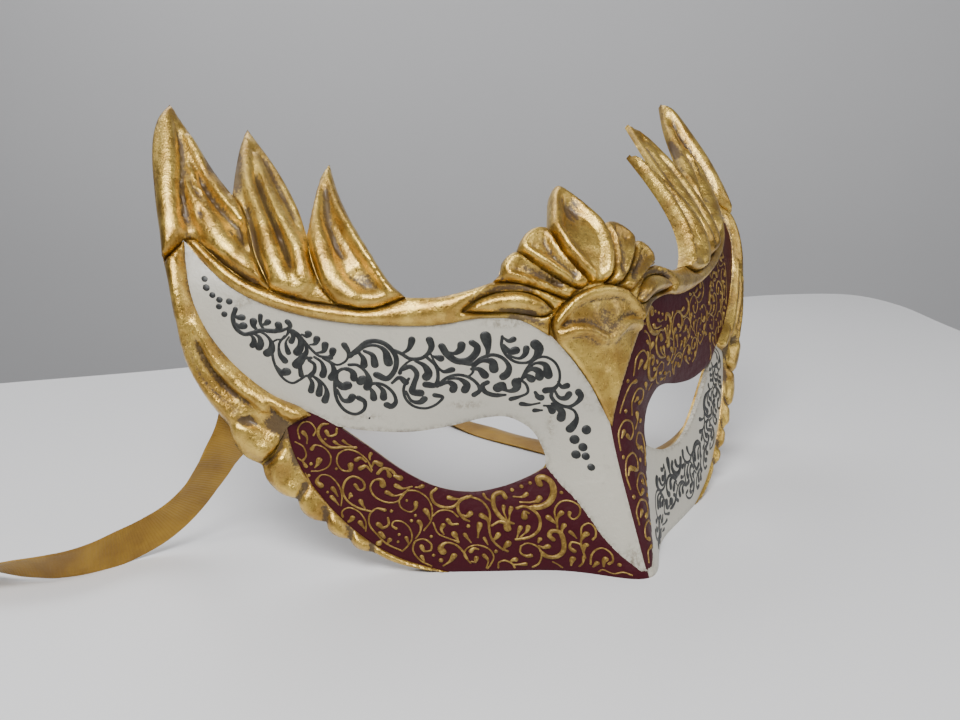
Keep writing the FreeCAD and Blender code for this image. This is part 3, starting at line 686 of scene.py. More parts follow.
# Strokes of the black scrollwork on the left brow: radius at the start, radius of the
# drop at the end, and the points the stroke passes.
BLACK_CURLS: list[Curl] = [
    (0.45, 0.3, [(-80.3, 65.4), (-81.1, 63.2), (-80.7, 60.8), (-79.2, 59.4), (-77.4, 59.7), (-75.4, 60.3),
                 (-73.4, 60.2), (-71.6, 60.2), (-70.0, 60.7)]),
    (0.3, 0.68, [(-80.9, 63.9), (-80.0, 63.4), (-79.2, 63.4)]),
    (0.35, 0.75, [(-80.8, 62.0), (-80.0, 61.3), (-79.1, 61.4)]),
    (0.3, 0.7, [(-76.4, 60.4), (-77.0, 61.4), (-76.9, 62.5)]),
    (0.3, 0.45, [(-74.9, 60.4), (-75.5, 62.0), (-75.3, 63.8)]),
    (0.25, 0.6, [(-75.2, 61.6), (-74.5, 61.8), (-73.9, 62.3)]),
    (0.25, 0.7, [(-74.4, 59.9), (-72.7, 60.0), (-71.8, 60.7), (-71.8, 61.6)]),
    (0.25, 0.55, [(-71.0, 60.3), (-69.6, 60.9), (-69.4, 61.6), (-69.8, 62.3)]),
    (0.25, 0.6, [(-78.2, 59.5), (-77.4, 58.6), (-77.3, 57.4), (-77.7, 56.7)]),
    (0.25, 0.7, [(-77.8, 59.8), (-76.2, 58.8), (-75.9, 57.2), (-76.4, 56.2)]),
    (0.28, 0.8, [(-76.6, 60.4), (-74.7, 59.2), (-73.7, 57.4), (-73.9, 55.6), (-74.8, 54.8)]),
    (0.28, 0.68, [(-73.7, 56.2), (-73.7, 53.2), (-73.0, 50.4), (-71.8, 48.4), (-70.2, 47.5), (-68.6, 48.3),
                  (-67.0, 49.3), (-65.2, 48.8), (-63.6, 47.0), (-63.2, 45.0), (-63.8, 43.2)]),
    (0.25, 0.62, [(-70.8, 58.9), (-72.1, 57.0), (-72.2, 54.6), (-71.3, 52.9)]),
    (0.2, 0.52, [(-69.9, 58.7), (-70.7, 57.2), (-70.4, 54.9)]),
    (0.3, 0.85, [(-73.4, 51.8), (-72.4, 50.2), (-71.2, 50.3)]),
    (0.22, 0.35, [(-73.9, 57.0), (-72.6, 58.0), (-71.2, 58.2), (-70.0, 59.6), (-69.8, 60.6)]),
    (0.32, 0.9, [(-71.8, 60.0), (-70.0, 60.6), (-68.1, 59.6), (-66.9, 57.6), (-66.5, 55.4), (-67.6, 53.6),
                 (-68.9, 52.0)]),
    (0.25, 0.55, [(-69.6, 60.2), (-69.0, 58.8), (-69.5, 57.6)]),
    (0.25, 0.8, [(-69.2, 59.9), (-67.8, 58.2), (-67.7, 56.4), (-68.5, 55.0)]),
    (0.3, 0.45, [(-69.4, 60.4), (-67.4, 58.5), (-65.6, 55.8), (-64.0, 54.1), (-61.6, 53.6)]),
    (0.22, 0.72, [(-67.1, 59.3), (-66.3, 58.9), (-65.8, 59.4)]),
    (0.22, 0.66, [(-65.6, 56.8), (-64.6, 57.0), (-64.1, 58.2)]),
    (0.22, 0.66, [(-64.6, 54.8), (-63.0, 55.2), (-62.5, 56.8)]),
    (0.22, 0.66, [(-62.8, 53.8), (-61.5, 54.1), (-61.0, 55.4)]),
    (0.25, 0.6, [(-62.2, 53.0), (-60.4, 51.9), (-58.5, 52.9), (-57.8, 54.8), (-58.5, 56.7)]),
    (0.3, 0.66, [(-65.0, 53.8), (-63.7, 52.6), (-63.3, 50.8), (-63.7, 49.4)]),
    (0.3, 0.72, [(-63.2, 53.5), (-61.6, 52.2), (-61.2, 50.2), (-61.9, 48.8)]),
    (0.35, 0.5, [(-65.8, 53.6), (-67.4, 53.4), (-68.2, 51.6), (-68.2, 49.4)]),
    (0.35, 0.5, [(-66.2, 53.0), (-65.2, 52.0), (-65.4, 50.4), (-66.4, 49.2)]),
    (0.3, 0.6, [(-66.8, 49.2), (-66.1, 47.6), (-66.5, 45.6)]),
    (0.3, 0.66, [(-65.6, 49.1), (-64.5, 47.3), (-64.9, 44.8)]),
    (0.35, 0.55, [(-57.7, 50.4), (-59.4, 50.9), (-60.8, 49.6), (-61.4, 46.6), (-61.2, 43.4), (-59.8, 40.8),
                  (-57.6, 39.8), (-55.7, 40.9), (-55.4, 42.8), (-56.6, 43.8)]),
    (0.3, 0.7, [(-60.4, 50.4), (-58.6, 51.0), (-57.3, 50.0), (-57.2, 48.6)]),
    (0.3, 0.88, [(-60.6, 50.0), (-60.9, 48.0), (-59.8, 46.6), (-58.7, 46.9)]),
    (0.3, 0.7, [(-61.0, 45.8), (-60.0, 43.3), (-58.6, 43.2), (-57.9, 44.1)]),
    (0.5, 0.7, [(-57.6, 54.0), (-55.8, 55.6), (-53.6, 57.4), (-51.2, 57.5), (-49.2, 56.2), (-47.9, 53.6),
                (-48.4, 50.6), (-50.2, 48.5), (-52.3, 49.4)]),
    (0.35, 0.85, [(-56.4, 54.6), (-54.2, 56.3), (-51.8, 56.5), (-50.1, 55.2), (-49.6, 52.4)]),
    (0.35, 0.68, [(-55.6, 54.8), (-54.8, 53.4), (-54.8, 51.8)]),
    (0.35, 0.72, [(-54.4, 55.2), (-52.8, 54.2), (-52.5, 51.9)]),
    (0.35, 0.75, [(-57.9, 51.9), (-56.2, 51.8), (-54.6, 50.2), (-54.0, 48.0), (-54.6, 46.4)]),
    (0.4, 0.8, [(-54.4, 47.0), (-55.2, 48.6), (-55.9, 47.8)]),
    (0.35, 0.65, [(-54.8, 46.0), (-53.2, 47.3), (-51.0, 46.9), (-49.2, 45.0), (-48.7, 42.8), (-49.7, 41.6),
                  (-50.7, 42.0)]),
    (0.3, 0.68, [(-54.3, 46.6), (-53.5, 45.2), (-53.4, 43.7)]),
    (0.3, 0.7, [(-52.5, 47.0), (-51.3, 45.6), (-51.3, 43.8)]),
    (0.4, 0.7, [(-48.4, 55.4), (-46.8, 54.6), (-45.0, 53.3), (-42.6, 53.4), (-41.0, 54.6), (-40.2, 56.2),
                (-40.5, 57.8)]),
    (0.3, 0.66, [(-46.8, 54.4), (-45.3, 55.4), (-44.5, 56.8), (-44.2, 57.9)]),
    (0.25, 0.4, [(-43.8, 53.4), (-45.6, 52.4), (-46.9, 51.0), (-47.4, 49.8)]),
    (0.5, 0.78, [(-46.8, 50.8), (-45.0, 51.3), (-43.8, 49.6), (-44.6, 47.0), (-45.0, 45.2), (-43.3, 44.8)]),
    (0.35, 0.85, [(-43.8, 52.7), (-42.1, 51.6), (-41.3, 49.8), (-41.8, 48.8)]),
    (0.35, 0.7, [(-41.4, 53.6), (-39.7, 51.6), (-39.3, 49.2), (-39.9, 46.8), (-42.0, 46.9)]),
    (0.3, 0.5, [(-45.6, 48.4), (-46.8, 46.2), (-46.6, 43.6), (-45.0, 41.6), (-42.4, 40.9), (-40.0, 41.8),
                (-38.5, 43.6), (-40.2, 44.2)]),
    (0.3, 0.66, [(-46.4, 45.2), (-45.3, 42.9), (-43.5, 42.5), (-42.5, 43.3)]),
    (0.3, 0.62, [(-49.2, 47.4), (-47.6, 48.7), (-46.3, 47.5)]),
    (0.22, 0.6, [(-40.6, 54.6), (-39.6, 52.0), (-38.2, 50.1), (-36.2, 50.5)]),
    (0.25, 0.72, [(-40.2, 53.9), (-38.5, 53.3)]),
    (0.7, 0.66, [(-38.0, 56.2), (-37.0, 54.2), (-35.0, 52.6), (-32.6, 52.8), (-30.9, 54.4), (-30.5, 56.0),
                 (-31.5, 57.0)]),
    (0.3, 0.78, [(-37.0, 54.8), (-35.4, 54.5), (-34.1, 55.4), (-33.8, 56.5)]),
    (0.4, 0.8, [(-34.4, 52.2), (-31.8, 51.8), (-29.8, 53.2), (-27.4, 54.0), (-25.2, 53.2), (-23.9, 51.2),
                (-24.3, 49.4), (-25.2, 48.6)]),
    (0.35, 1.05, [(-28.5, 53.8), (-28.2, 55.6), (-28.5, 58.5)]),
    (0.35, 0.9, [(-31.6, 51.2), (-29.6, 52.6), (-27.5, 52.3), (-27.2, 50.5)]),
    (0.35, 0.8, [(-32.0, 50.6), (-30.4, 50.5), (-29.2, 49.0)]),
    (0.35, 0.55, [(-39.6, 46.4), (-37.6, 48.4), (-35.2, 49.2), (-32.8, 48.6), (-31.0, 47.0), (-30.4, 45.2),
                  (-31.6, 44.1)]),
    (0.3, 0.75, [(-39.0, 46.6), (-37.2, 47.4), (-36.0, 46.5), (-36.2, 45.5)]),
    (0.3, 0.8, [(-37.2, 48.3), (-34.8, 48.2), (-33.2, 46.8), (-33.6, 45.4)]),
    (0.25, 0.4, [(-32.7, 48.8), (-31.8, 49.8), (-31.6, 51.6)]),
    (0.5, 0.3, [(-28.7, 47.2), (-29.8, 46.4), (-29.2, 44.8), (-27.2, 43.9), (-24.8, 43.9)]),
    (0.3, 1.0, [(-24.6, 45.2), (-25.4, 46.5), (-26.4, 45.8)]),
    (0.3, 0.95, [(-25.2, 45.2), (-23.6, 44.9), (-22.4, 45.6), (-22.4, 47.1)]),
    (0.3, 0.5, [(-21.8, 48.0), (-20.2, 46.4), (-19.9, 44.4), (-21.6, 43.4), (-23.5, 42.8)]),
    (0.32, 1.05, [(-24.9, 58.4), (-25.2, 56.0), (-24.2, 53.6), (-22.2, 52.1), (-19.6, 52.0), (-17.7, 53.4),
                  (-17.0, 55.2), (-17.7, 56.3)]),
    (0.25, 0.6, [(-24.8, 58.2), (-23.6, 57.3), (-22.5, 57.7)]),
    (0.4, 0.85, [(-24.8, 56.2), (-23.6, 54.8), (-22.2, 55.0)]),
    (0.3, 0.66, [(-24.0, 53.8), (-21.6, 53.0), (-20.2, 54.0), (-19.8, 55.4)]),
    (0.3, 0.7, [(-21.2, 48.0), (-20.0, 50.4), (-18.2, 52.6), (-15.8, 53.2), (-13.6, 51.8), (-12.6, 49.4),
                (-12.8, 46.8), (-14.0, 45.2), (-15.9, 44.8)]),
    (0.3, 0.9, [(-20.2, 50.0), (-18.0, 51.7), (-15.8, 51.2), (-15.2, 48.7)]),
    (0.3, 0.85, [(-20.8, 48.8), (-19.0, 50.3), (-17.4, 49.7), (-17.2, 48.3)]),
    (0.3, 0.8, [(-21.2, 47.8), (-20.2, 48.6), (-19.0, 47.8)]),
    (0.25, 0.65, [(-13.0, 46.9), (-12.2, 45.6), (-10.9, 45.8)]),
    (0.4, 0.75, [(-14.2, 45.2), (-14.6, 43.2), (-13.0, 41.2), (-10.6, 40.4), (-8.6, 41.4), (-7.6, 42.8),
                 (-8.2, 44.0)]),
    (0.3, 0.7, [(-13.8, 44.6), (-12.8, 42.9), (-11.3, 42.7), (-10.5, 43.6)]),
    (0.3, 0.85, [(-14.4, 41.4), (-11.8, 40.6), (-9.4, 39.4), (-8.7, 37.4), (-9.6, 35.6), (-10.4, 34.7)]),
    (0.25, 0.9, [(-16.2, 40.9), (-14.2, 40.7), (-12.3, 39.4), (-12.3, 37.6)]),
    (0.25, 0.7, [(-15.4, 40.6), (-14.3, 39.4)]),
    (0.35, 0.7, [(-18.2, 44.4), (-17.6, 43.3), (-16.9, 43.0)]),
    (0.25, 0.5, [(-17.2, 41.6), (-19.4, 41.2), (-21.2, 41.5)]),
    (0.25, 0.5, [(-16.6, 39.7), (-18.2, 39.7)]),
]
# Dots of the black scrollwork: place and radius.
BLACK_DOTS: list[tuple[float, float, float]] = [
    (-85.7, 72.3, 0.55), (-85.7, 70.3, 0.62), (-84.7, 68.6, 0.55), (-83.4, 67.5, 0.58),
    (-81.4, 67.1, 0.6), (-83.7, 65.9, 0.55), (-82.8, 64.1, 0.56), (-6.7, 34.3, 0.95),
    (-9.6, 32.0, 0.95), (-8.0, 30.1, 0.85), (-9.7, 28.3, 0.85), (-7.7, 27.9, 0.75),
    (-7.0, 25.3, 0.7), (-54.7, 38.7, 0.2),
]

# Strokes of the raised gold scrollwork on the left cheek.
GOLD_CURLS: list[Curl] = [
    (0.2, 0.25, [(-70.0, 33.8), (-70.2, 36.0), (-69.0, 37.8), (-67.4, 37.8), (-66.4, 36.0), (-67.0, 34.6)]),
    (0.2, 0.6, [(-68.6, 32.6), (-68.4, 34.0), (-69.1, 35.4)]),
    (0.4, 0.22, [(-58.2, 31.5), (-61.0, 31.6), (-63.6, 31.6), (-65.4, 33.4), (-66.0, 35.4), (-65.0, 37.2),
                 (-63.6, 37.4)]),
    (0.3, 0.55, [(-61.9, 36.2), (-62.2, 34.9), (-63.6, 34.4), (-64.2, 35.6)]),
    (0.2, 0.45, [(-60.4, 31.7), (-61.8, 32.2), (-62.7, 33.0)]),
    (0.2, 0.42, [(-59.0, 31.8), (-60.0, 32.4), (-60.8, 33.2)]),
    (0.2, 0.5, [(-68.2, 25.7), (-66.4, 25.8), (-64.4, 27.0), (-63.8, 29.4), (-65.0, 31.5), (-66.8, 32.2),
                (-67.7, 31.2)]),
    (0.2, 0.75, [(-67.4, 26.6), (-66.8, 27.4), (-66.3, 28.5)]),
    (0.22, 0.75, [(-55.2, 25.8), (-56.0, 28.2), (-57.8, 30.2), (-60.0, 31.0), (-62.0, 30.0), (-62.6, 27.8),
                  (-61.6, 25.9), (-60.0, 25.8), (-59.7, 27.2)]),
    (0.25, 0.6, [(-56.3, 27.9), (-57.4, 28.9), (-58.4, 28.4)]),
    (0.25, 0.66, [(-55.4, 25.4), (-56.4, 26.8), (-57.7, 26.3)]),
    (0.25, 0.75, [(-55.2, 26.6), (-54.4, 27.8), (-53.2, 27.1)]),
    (0.2, 0.5, [(-55.4, 28.4), (-55.4, 29.2), (-55.1, 29.9)]),
    (0.2, 0.8, [(-62.7, 17.0), (-62.3, 19.6), (-62.8, 22.2), (-64.4, 24.4), (-66.3, 24.7), (-67.3, 23.2),
                (-66.6, 22.1)]),
    (0.2, 0.62, [(-63.2, 19.4), (-63.6, 20.4), (-64.1, 21.4)]),
    (0.2, 0.6, [(-63.2, 17.2), (-63.8, 18.2), (-64.5, 19.2)]),
    (0.3, 0.5, [(-56.4, 15.5), (-59.0, 16.4), (-61.2, 18.2), (-62.0, 20.6), (-61.2, 23.2), (-59.4, 24.3),
                (-57.6, 23.3), (-57.2, 21.6), (-58.3, 20.8), (-59.2, 22.2)]),
    (0.2, 0.6, [(-57.6, 16.2), (-58.2, 17.4), (-58.4, 18.2)]),
    (0.2, 0.4, [(-60.8, 18.8), (-60.4, 20.0)]),
    (0.25, 0.85, [(-47.4, 21.2), (-48.8, 19.6), (-50.6, 17.8), (-53.0, 17.8), (-55.2, 19.2), (-56.0, 21.4),
                  (-55.0, 23.2), (-53.4, 23.3), (-53.2, 22.0)]),
    (0.25, 0.65, [(-49.2, 19.6), (-51.0, 19.3), (-52.5, 20.2)]),
    (0.25, 0.65, [(-46.8, 21.4), (-48.8, 21.0), (-50.3, 21.8)]),
    (0.22, 0.6, [(-45.4, 10.6), (-43.6, 13.0), (-43.0, 16.0), (-43.8, 18.6), (-46.0, 20.3), (-48.4, 20.2),
                 (-49.9, 18.4), (-49.8, 16.4), (-48.0, 15.2), (-46.7, 16.0), (-46.4, 17.4)]),
    (0.22, 0.75, [(-43.8, 13.2), (-44.0, 14.4), (-44.5, 15.5)]),
    (0.2, 0.32, [(-58.0, 10.6), (-57.8, 13.0), (-59.0, 15.4), (-61.0, 16.5), (-62.6, 15.6), (-62.6, 14.2)]),
    (0.4, 0.65, [(-61.4, 13.0), (-60.9, 13.4), (-60.5, 14.0)]),
    (0.2, 0.65, [(-58.2, 11.2), (-58.6, 12.0), (-59.0, 12.8)]),
    (0.25, 0.5, [(-50.8, 5.6), (-53.6, 7.2), (-55.4, 9.4), (-57.0, 12.0), (-56.8, 14.6), (-55.2, 16.2),
                 (-53.4, 15.8)]),
    (0.3, 0.7, [(-52.9, 13.8), (-52.9, 12.2), (-54.2, 11.4), (-55.1, 12.3)]),
    (0.5, 0.7, [(-54.2, 9.0), (-54.9, 10.0)]),
    (0.3, 0.75, [(-54.6, 8.4), (-55.5, 7.4)]),
    (0.25, 0.58, [(-53.6, 7.4), (-53.0, 8.4)]),
    (0.22, 0.4, [(-50.6, 5.4), (-49.4, 6.6), (-48.2, 8.6), (-48.4, 11.0), (-49.8, 12.8), (-51.6, 13.0),
                 (-52.2, 11.9), (-51.4, 11.2)]),
    (0.2, 0.5, [(-49.0, 7.2), (-49.4, 8.8)]),
    (0.25, 0.6, [(-44.6, 1.6), (-46.8, 3.0), (-48.2, 5.4), (-47.6, 7.8), (-45.6, 8.4), (-44.2, 7.2),
                 (-44.4, 5.6), (-45.8, 5.4), (-46.3, 6.6)]),
    (0.2, 0.55, [(-46.0, 2.8), (-46.5, 4.0)]),
    (0.22, 0.65, [(-47.4, 8.6), (-46.3, 10.2), (-45.9, 12.0), (-46.3, 12.8)]),
    (0.2, 0.35, [(-71.0, 33.0), (-69.4, 31.8), (-69.0, 29.6), (-69.8, 28.4)]),
    (0.2, 0.5, [(-70.8, 29.0), (-69.8, 28.0), (-69.3, 26.9)]),
    (0.15, 0.15, [(-69.6, 25.2), (-68.4, 22.0), (-66.4, 18.4), (-64.6, 15.6), (-62.8, 13.4)]),
    (0.45, 0.3, [(-54.0, 24.9), (-52.8, 26.1), (-51.2, 25.7), (-50.0, 24.4)]),
    (0.3, 0.65, [(-51.8, 25.7), (-51.5, 24.3)]),
    (0.4, 0.85, [(-50.4, 24.2), (-49.2, 23.6)]),
    (0.2, 0.6, [(-46.0, 21.2), (-45.2, 21.1), (-44.4, 21.4)]),
    (0.4, 0.4, [(-41.4, 20.6), (-42.7, 19.5), (-42.4, 17.4), (-40.6, 16.2), (-38.2, 16.2), (-36.0, 17.8),
                (-33.8, 18.5)]),
    (0.25, 0.62, [(-36.2, 17.9), (-37.6, 18.0), (-38.9, 18.4)]),
    (0.4, 0.25, [(-34.6, 18.4), (-36.6, 17.6), (-37.3, 15.4), (-36.4, 13.4), (-35.2, 12.6)]),
    (0.3, 0.7, [(-36.8, 14.2), (-35.6, 13.8), (-34.6, 14.5)]),
    (0.3, 0.35, [(-34.0, 18.4), (-31.6, 17.2), (-30.4, 14.6), (-31.0, 11.0), (-30.8, 8.2), (-29.2, 6.0),
                 (-27.6, 5.0)]),
    (0.3, 0.75, [(-31.1, 10.6), (-31.1, 12.8), (-32.3, 13.9)]),
    (0.25, 0.75, [(-33.8, 8.6), (-33.4, 10.4), (-33.0, 11.8)]),
    (0.2, 0.45, [(-31.8, 6.8), (-32.4, 8.4)]),
    (0.22, 0.3, [(-43.4, 13.8), (-41.4, 15.3), (-39.0, 15.2), (-37.6, 13.8)]),
    (0.22, 0.4, [(-43.2, 12.4), (-42.4, 9.8), (-40.4, 8.6), (-38.2, 7.6)]),
    (0.3, 0.62, [(-37.8, 12.0), (-39.2, 12.0), (-39.9, 13.0)]),
    (0.25, 0.6, [(-41.2, 9.6), (-41.6, 10.8), (-41.0, 11.8)]),
    (0.25, 0.8, [(-38.2, 7.8), (-38.6, 9.0), (-38.9, 9.6)]),
    (0.2, 0.55, [(-35.4, 7.4), (-36.2, 8.6), (-36.6, 9.4)]),
    (0.6, 0.3, [(-26.2, 18.0), (-26.8, 19.1), (-28.6, 18.5), (-29.2, 16.2), (-28.4, 13.8), (-26.8, 12.2),
                (-25.5, 11.8)]),
    (0.22, 0.5, [(-26.8, 12.6), (-27.2, 14.6), (-27.0, 15.9)]),
    (0.22, 0.58, [(-26.4, 12.5), (-25.9, 14.4), (-25.4, 15.5)]),
    (0.25, 0.4, [(-29.6, 17.2), (-30.6, 18.0), (-30.9, 18.8)]),
    (0.4, 0.3, [(-24.2, 15.4), (-22.4, 15.8), (-20.4, 14.6), (-19.6, 12.6), (-20.2, 10.2), (-22.0, 8.6),
                (-24.2, 8.0), (-25.6, 7.9)]),
    (0.3, 0.85, [(-21.8, 14.2), (-22.6, 14.5), (-22.9, 13.3)]),
    (0.22, 0.62, [(-25.2, 8.3), (-24.6, 9.8), (-24.1, 10.8)]),
    (0.22, 0.62, [(-24.6, 8.3), (-22.9, 9.8), (-22.4, 10.9)]),
    (0.8, 0.35, [(-18.2, 21.0), (-18.3, 22.2), (-17.2, 22.7), (-15.8, 21.6), (-15.6, 19.4), (-16.8, 17.0),
                 (-19.0, 15.7), (-21.4, 15.6)]),
    (0.25, 0.72, [(-23.2, 16.8), (-21.2, 16.7), (-19.5, 17.0), (-18.8, 17.8)]),
    (0.25, 0.55, [(-24.4, 18.1), (-22.6, 18.0), (-21.4, 18.7)]),
    (0.22, 0.45, [(-16.2, 12.0), (-16.2, 14.8), (-14.8, 16.8), (-12.9, 17.3), (-11.1, 16.2), (-11.3, 14.2),
                  (-12.6, 12.9), (-13.4, 13.6), (-13.2, 14.5)]),
    (0.25, 0.62, [(-16.2, 10.6), (-15.9, 13.0), (-14.8, 14.4)]),
    (0.22, 0.75, [(-16.2, 11.6), (-17.0, 12.4), (-17.7, 13.2)]),
    (0.22, 0.6, [(-15.4, 9.6), (-15.2, 10.6), (-14.7, 11.4)]),
    (0.6, 0.3, [(-17.4, 7.8), (-18.1, 8.8), (-17.4, 9.9), (-15.8, 9.6), (-15.3, 7.6), (-15.6, 5.0),
                (-17.2, 3.5), (-19.2, 3.6), (-20.4, 5.0)]),
    (0.25, 0.3, [(-24.6, 6.2), (-23.0, 6.9), (-20.9, 6.0), (-20.2, 4.0), (-21.0, 1.8), (-22.4, 0.9)]),
    (0.25, 0.6, [(-24.6, 6.2), (-24.8, 4.6), (-23.6, 3.7), (-22.6, 3.8)]),
    (0.22, 0.7, [(-20.6, 6.2), (-19.6, 5.8), (-18.6, 6.1)]),
    (0.3, 0.6, [(-20.6, 7.2), (-20.2, 7.9)]),
    (0.3, 0.95, [(-36.6, 3.2), (-37.4, 5.2), (-39.0, 7.0), (-41.0, 7.4), (-42.2, 6.2), (-41.8, 5.2)]),
    (0.25, 0.75, [(-42.0, 1.6), (-40.4, 2.8), (-39.4, 4.2)]),
    (0.22, 0.25, [(-36.0, 2.2), (-37.2, 4.2), (-36.4, 6.0), (-34.2, 6.7), (-31.8, 5.8), (-30.8, 3.8),
                  (-31.6, 1.8), (-32.4, 0.8)]),
    (0.25, 0.58, [(-34.0, 5.7), (-35.0, 5.9), (-35.7, 5.2)]),
    (0.25, 0.62, [(-35.8, 2.6), (-35.0, 2.5), (-34.6, 3.5)]),
    (0.22, 0.58, [(-32.6, 0.9), (-32.1, 2.8), (-32.9, 4.1)]),
    (0.25, 0.3, [(-30.0, 0.9), (-29.8, 2.2), (-28.4, 2.7), (-26.9, 1.9), (-26.4, 0.9)]),
    (0.22, 0.68, [(-27.4, 2.3), (-26.6, 2.8), (-26.0, 2.9)]),
    (0.22, 0.55, [(-26.4, 1.6), (-24.8, 1.6), (-23.9, 1.7)]),
    (0.3, 0.85, [(-28.6, 5.4), (-27.8, 6.4), (-27.2, 7.0)]),
    (0.3, 0.7, [(-30.6, 7.8), (-29.8, 8.4), (-29.2, 9.2)]),
    (0.3, 1.0, [(-30.4, 11.4), (-28.6, 12.3), (-27.2, 11.9), (-27.0, 10.7)]),
    (0.25, 0.65, [(-11.6, 3.8), (-12.0, 7.2), (-11.4, 8.8), (-10.6, 9.7)]),
    (0.22, 0.28, [(-11.8, 8.0), (-11.4, 11.0), (-9.9, 12.2), (-8.9, 11.2), (-9.0, 9.4), (-9.7, 8.4)]),
    (0.25, 0.58, [(-11.6, 5.6), (-12.2, 7.0), (-13.8, 7.3), (-14.2, 6.0), (-13.5, 5.2)]),
    (0.25, 0.55, [(-11.7, 5.4), (-11.4, 6.6), (-11.0, 7.0)]),
    (0.2, 0.55, [(-12.7, 8.4), (-13.2, 9.2), (-13.7, 9.8)]),
    (0.22, 0.35, [(-10.8, 2.4), (-10.4, 4.6), (-9.2, 6.2), (-7.9, 6.5), (-6.8, 5.4), (-6.8, 3.8),
                  (-7.6, 3.0)]),
    (0.22, 0.62, [(-8.6, 2.2), (-8.4, 3.4), (-8.0, 4.1)]),
    (0.22, 0.5, [(-10.4, 1.8), (-9.6, 2.9)]),
    (0.25, 0.7, [(-14.4, 1.6), (-14.2, 2.6), (-13.9, 3.3)]),
    (0.22, 0.4, [(-12.9, 1.5), (-12.2, 2.4), (-11.8, 4.0)]),
    (0.18, 0.25, [(-9.6, 0.8), (-8.8, 1.4), (-7.2, 0.8), (-5.4, 1.4), (-3.9, 0.9)]),
    (0.2, 0.25, [(-18.0, 2.2), (-17.0, 1.6), (-16.2, 0.9)]),
]
GOLD_DOTS: list[tuple[float, float, float]] = [
    (-50.9, 9.6, 0.38), (-51.3, 7.8, 0.36), (-47.9, 13.0, 0.42), (-44.0, 9.0, 0.42),
    (-52.0, 15.5, 0.42), (-48.4, 18.0, 0.35), (-46.9, 14.3, 0.38), (-35.6, 11.4, 0.5),
    (-20.2, 21.2, 0.45), (-22.2, 20.4, 0.5), (-24.4, 19.6, 0.5), (-14.1, 19.1, 0.42),
    (-5.8, 3.0, 0.45), (-30.2, 5.0, 0.5), (-68.9, 24.6, 0.4), (-68.2, 27.5, 0.45),
    (-43.9, 4.3, 0.42), (-42.4, 3.0, 0.6), (-60.2, 19.4, 0.3), (-65.3, 20.4, 0.32),
    (-62.9, 26.2, 0.36), (-64.6, 33.6, 0.3),
]

# Strokes of the raised gold scrollwork beside the middle line of the right brow.
NOSE_CURLS: list[Curl] = [
    (0.25, 0.6, [(1.4, 19.6), (1.2, 23.0), (3.0, 26.2), (6.2, 26.6), (7.8, 24.4), (6.8, 22.4), (5.0, 23.2)]),
    (0.25, 0.6, [(12.4, 21.4), (14.3, 24.6), (13.8, 28.4), (11.2, 29.8), (9.2, 28.2), (10.2, 26.6)]),
    (0.25, 0.6, [(1.3, 28.6), (1.8, 32.4), (4.6, 34.8), (7.8, 33.8), (8.4, 31.2), (6.4, 29.9), (5.0, 31.2)]),
    (0.25, 0.6, [(10.2, 17.2), (9.6, 20.2), (6.8, 21.2), (4.4, 19.4), (4.9, 17.2), (6.8, 17.4)]),
    (0.25, 0.6, [(1.2, 11.6), (1.5, 14.6), (4.2, 16.2), (7.0, 14.8), (7.0, 12.6), (5.0, 12.2)]),
    (0.25, 0.5, [(6.8, 9.6), (5.6, 10.9), (3.2, 10.4), (2.4, 8.4), (3.9, 7.4)]),
    (0.22, 0.45, [(1.1, 3.2), (1.9, 5.4), (3.9, 5.8)]),
    (0.25, 0.6, [(8.6, 35.4), (9.0, 39.0), (11.6, 41.4), (14.6, 40.4), (14.6, 38.0), (12.6, 37.4)]),
    (0.25, 0.6, [(3.6, 37.2), (5.8, 40.8), (8.2, 43.4), (10.6, 43.8)]),
    (0.25, 0.7, [(9.6, 45.6), (11.2, 49.8), (14.6, 51.0), (16.8, 48.6), (15.2, 46.4)]),
    (0.25, 0.65, [(2.0, 22.6), (3.2, 23.9), (4.0, 23.6)]), (0.25, 0.65, [(12.6, 24.4), (11.9, 25.8)]),
    (0.25, 0.65, [(2.7, 31.2), (3.9, 32.4)]), (0.25, 0.6, [(8.6, 18.2), (7.9, 19.2)]),
    (0.25, 0.6, [(2.4, 13.0), (3.5, 13.9)]), (0.25, 0.65, [(10.2, 38.4), (11.4, 39.0)]),
    (0.25, 0.7, [(9.8, 31.4), (11.4, 33.0), (11.2, 35.0)]), (0.25, 0.65, [(12.0, 46.8), (13.4, 48.4)]),
]
NOSE_DOTS: list[tuple[float, float, float]] = [
    (13.2, 32.4, 0.6), (1.8, 17.6, 0.5), (9.6, 23.6, 0.5), (1.7, 26.8, 0.45), (5.8, 37.0, 0.5),
    (9.0, 15.4, 0.45), (7.0, 44.6, 0.5),
]


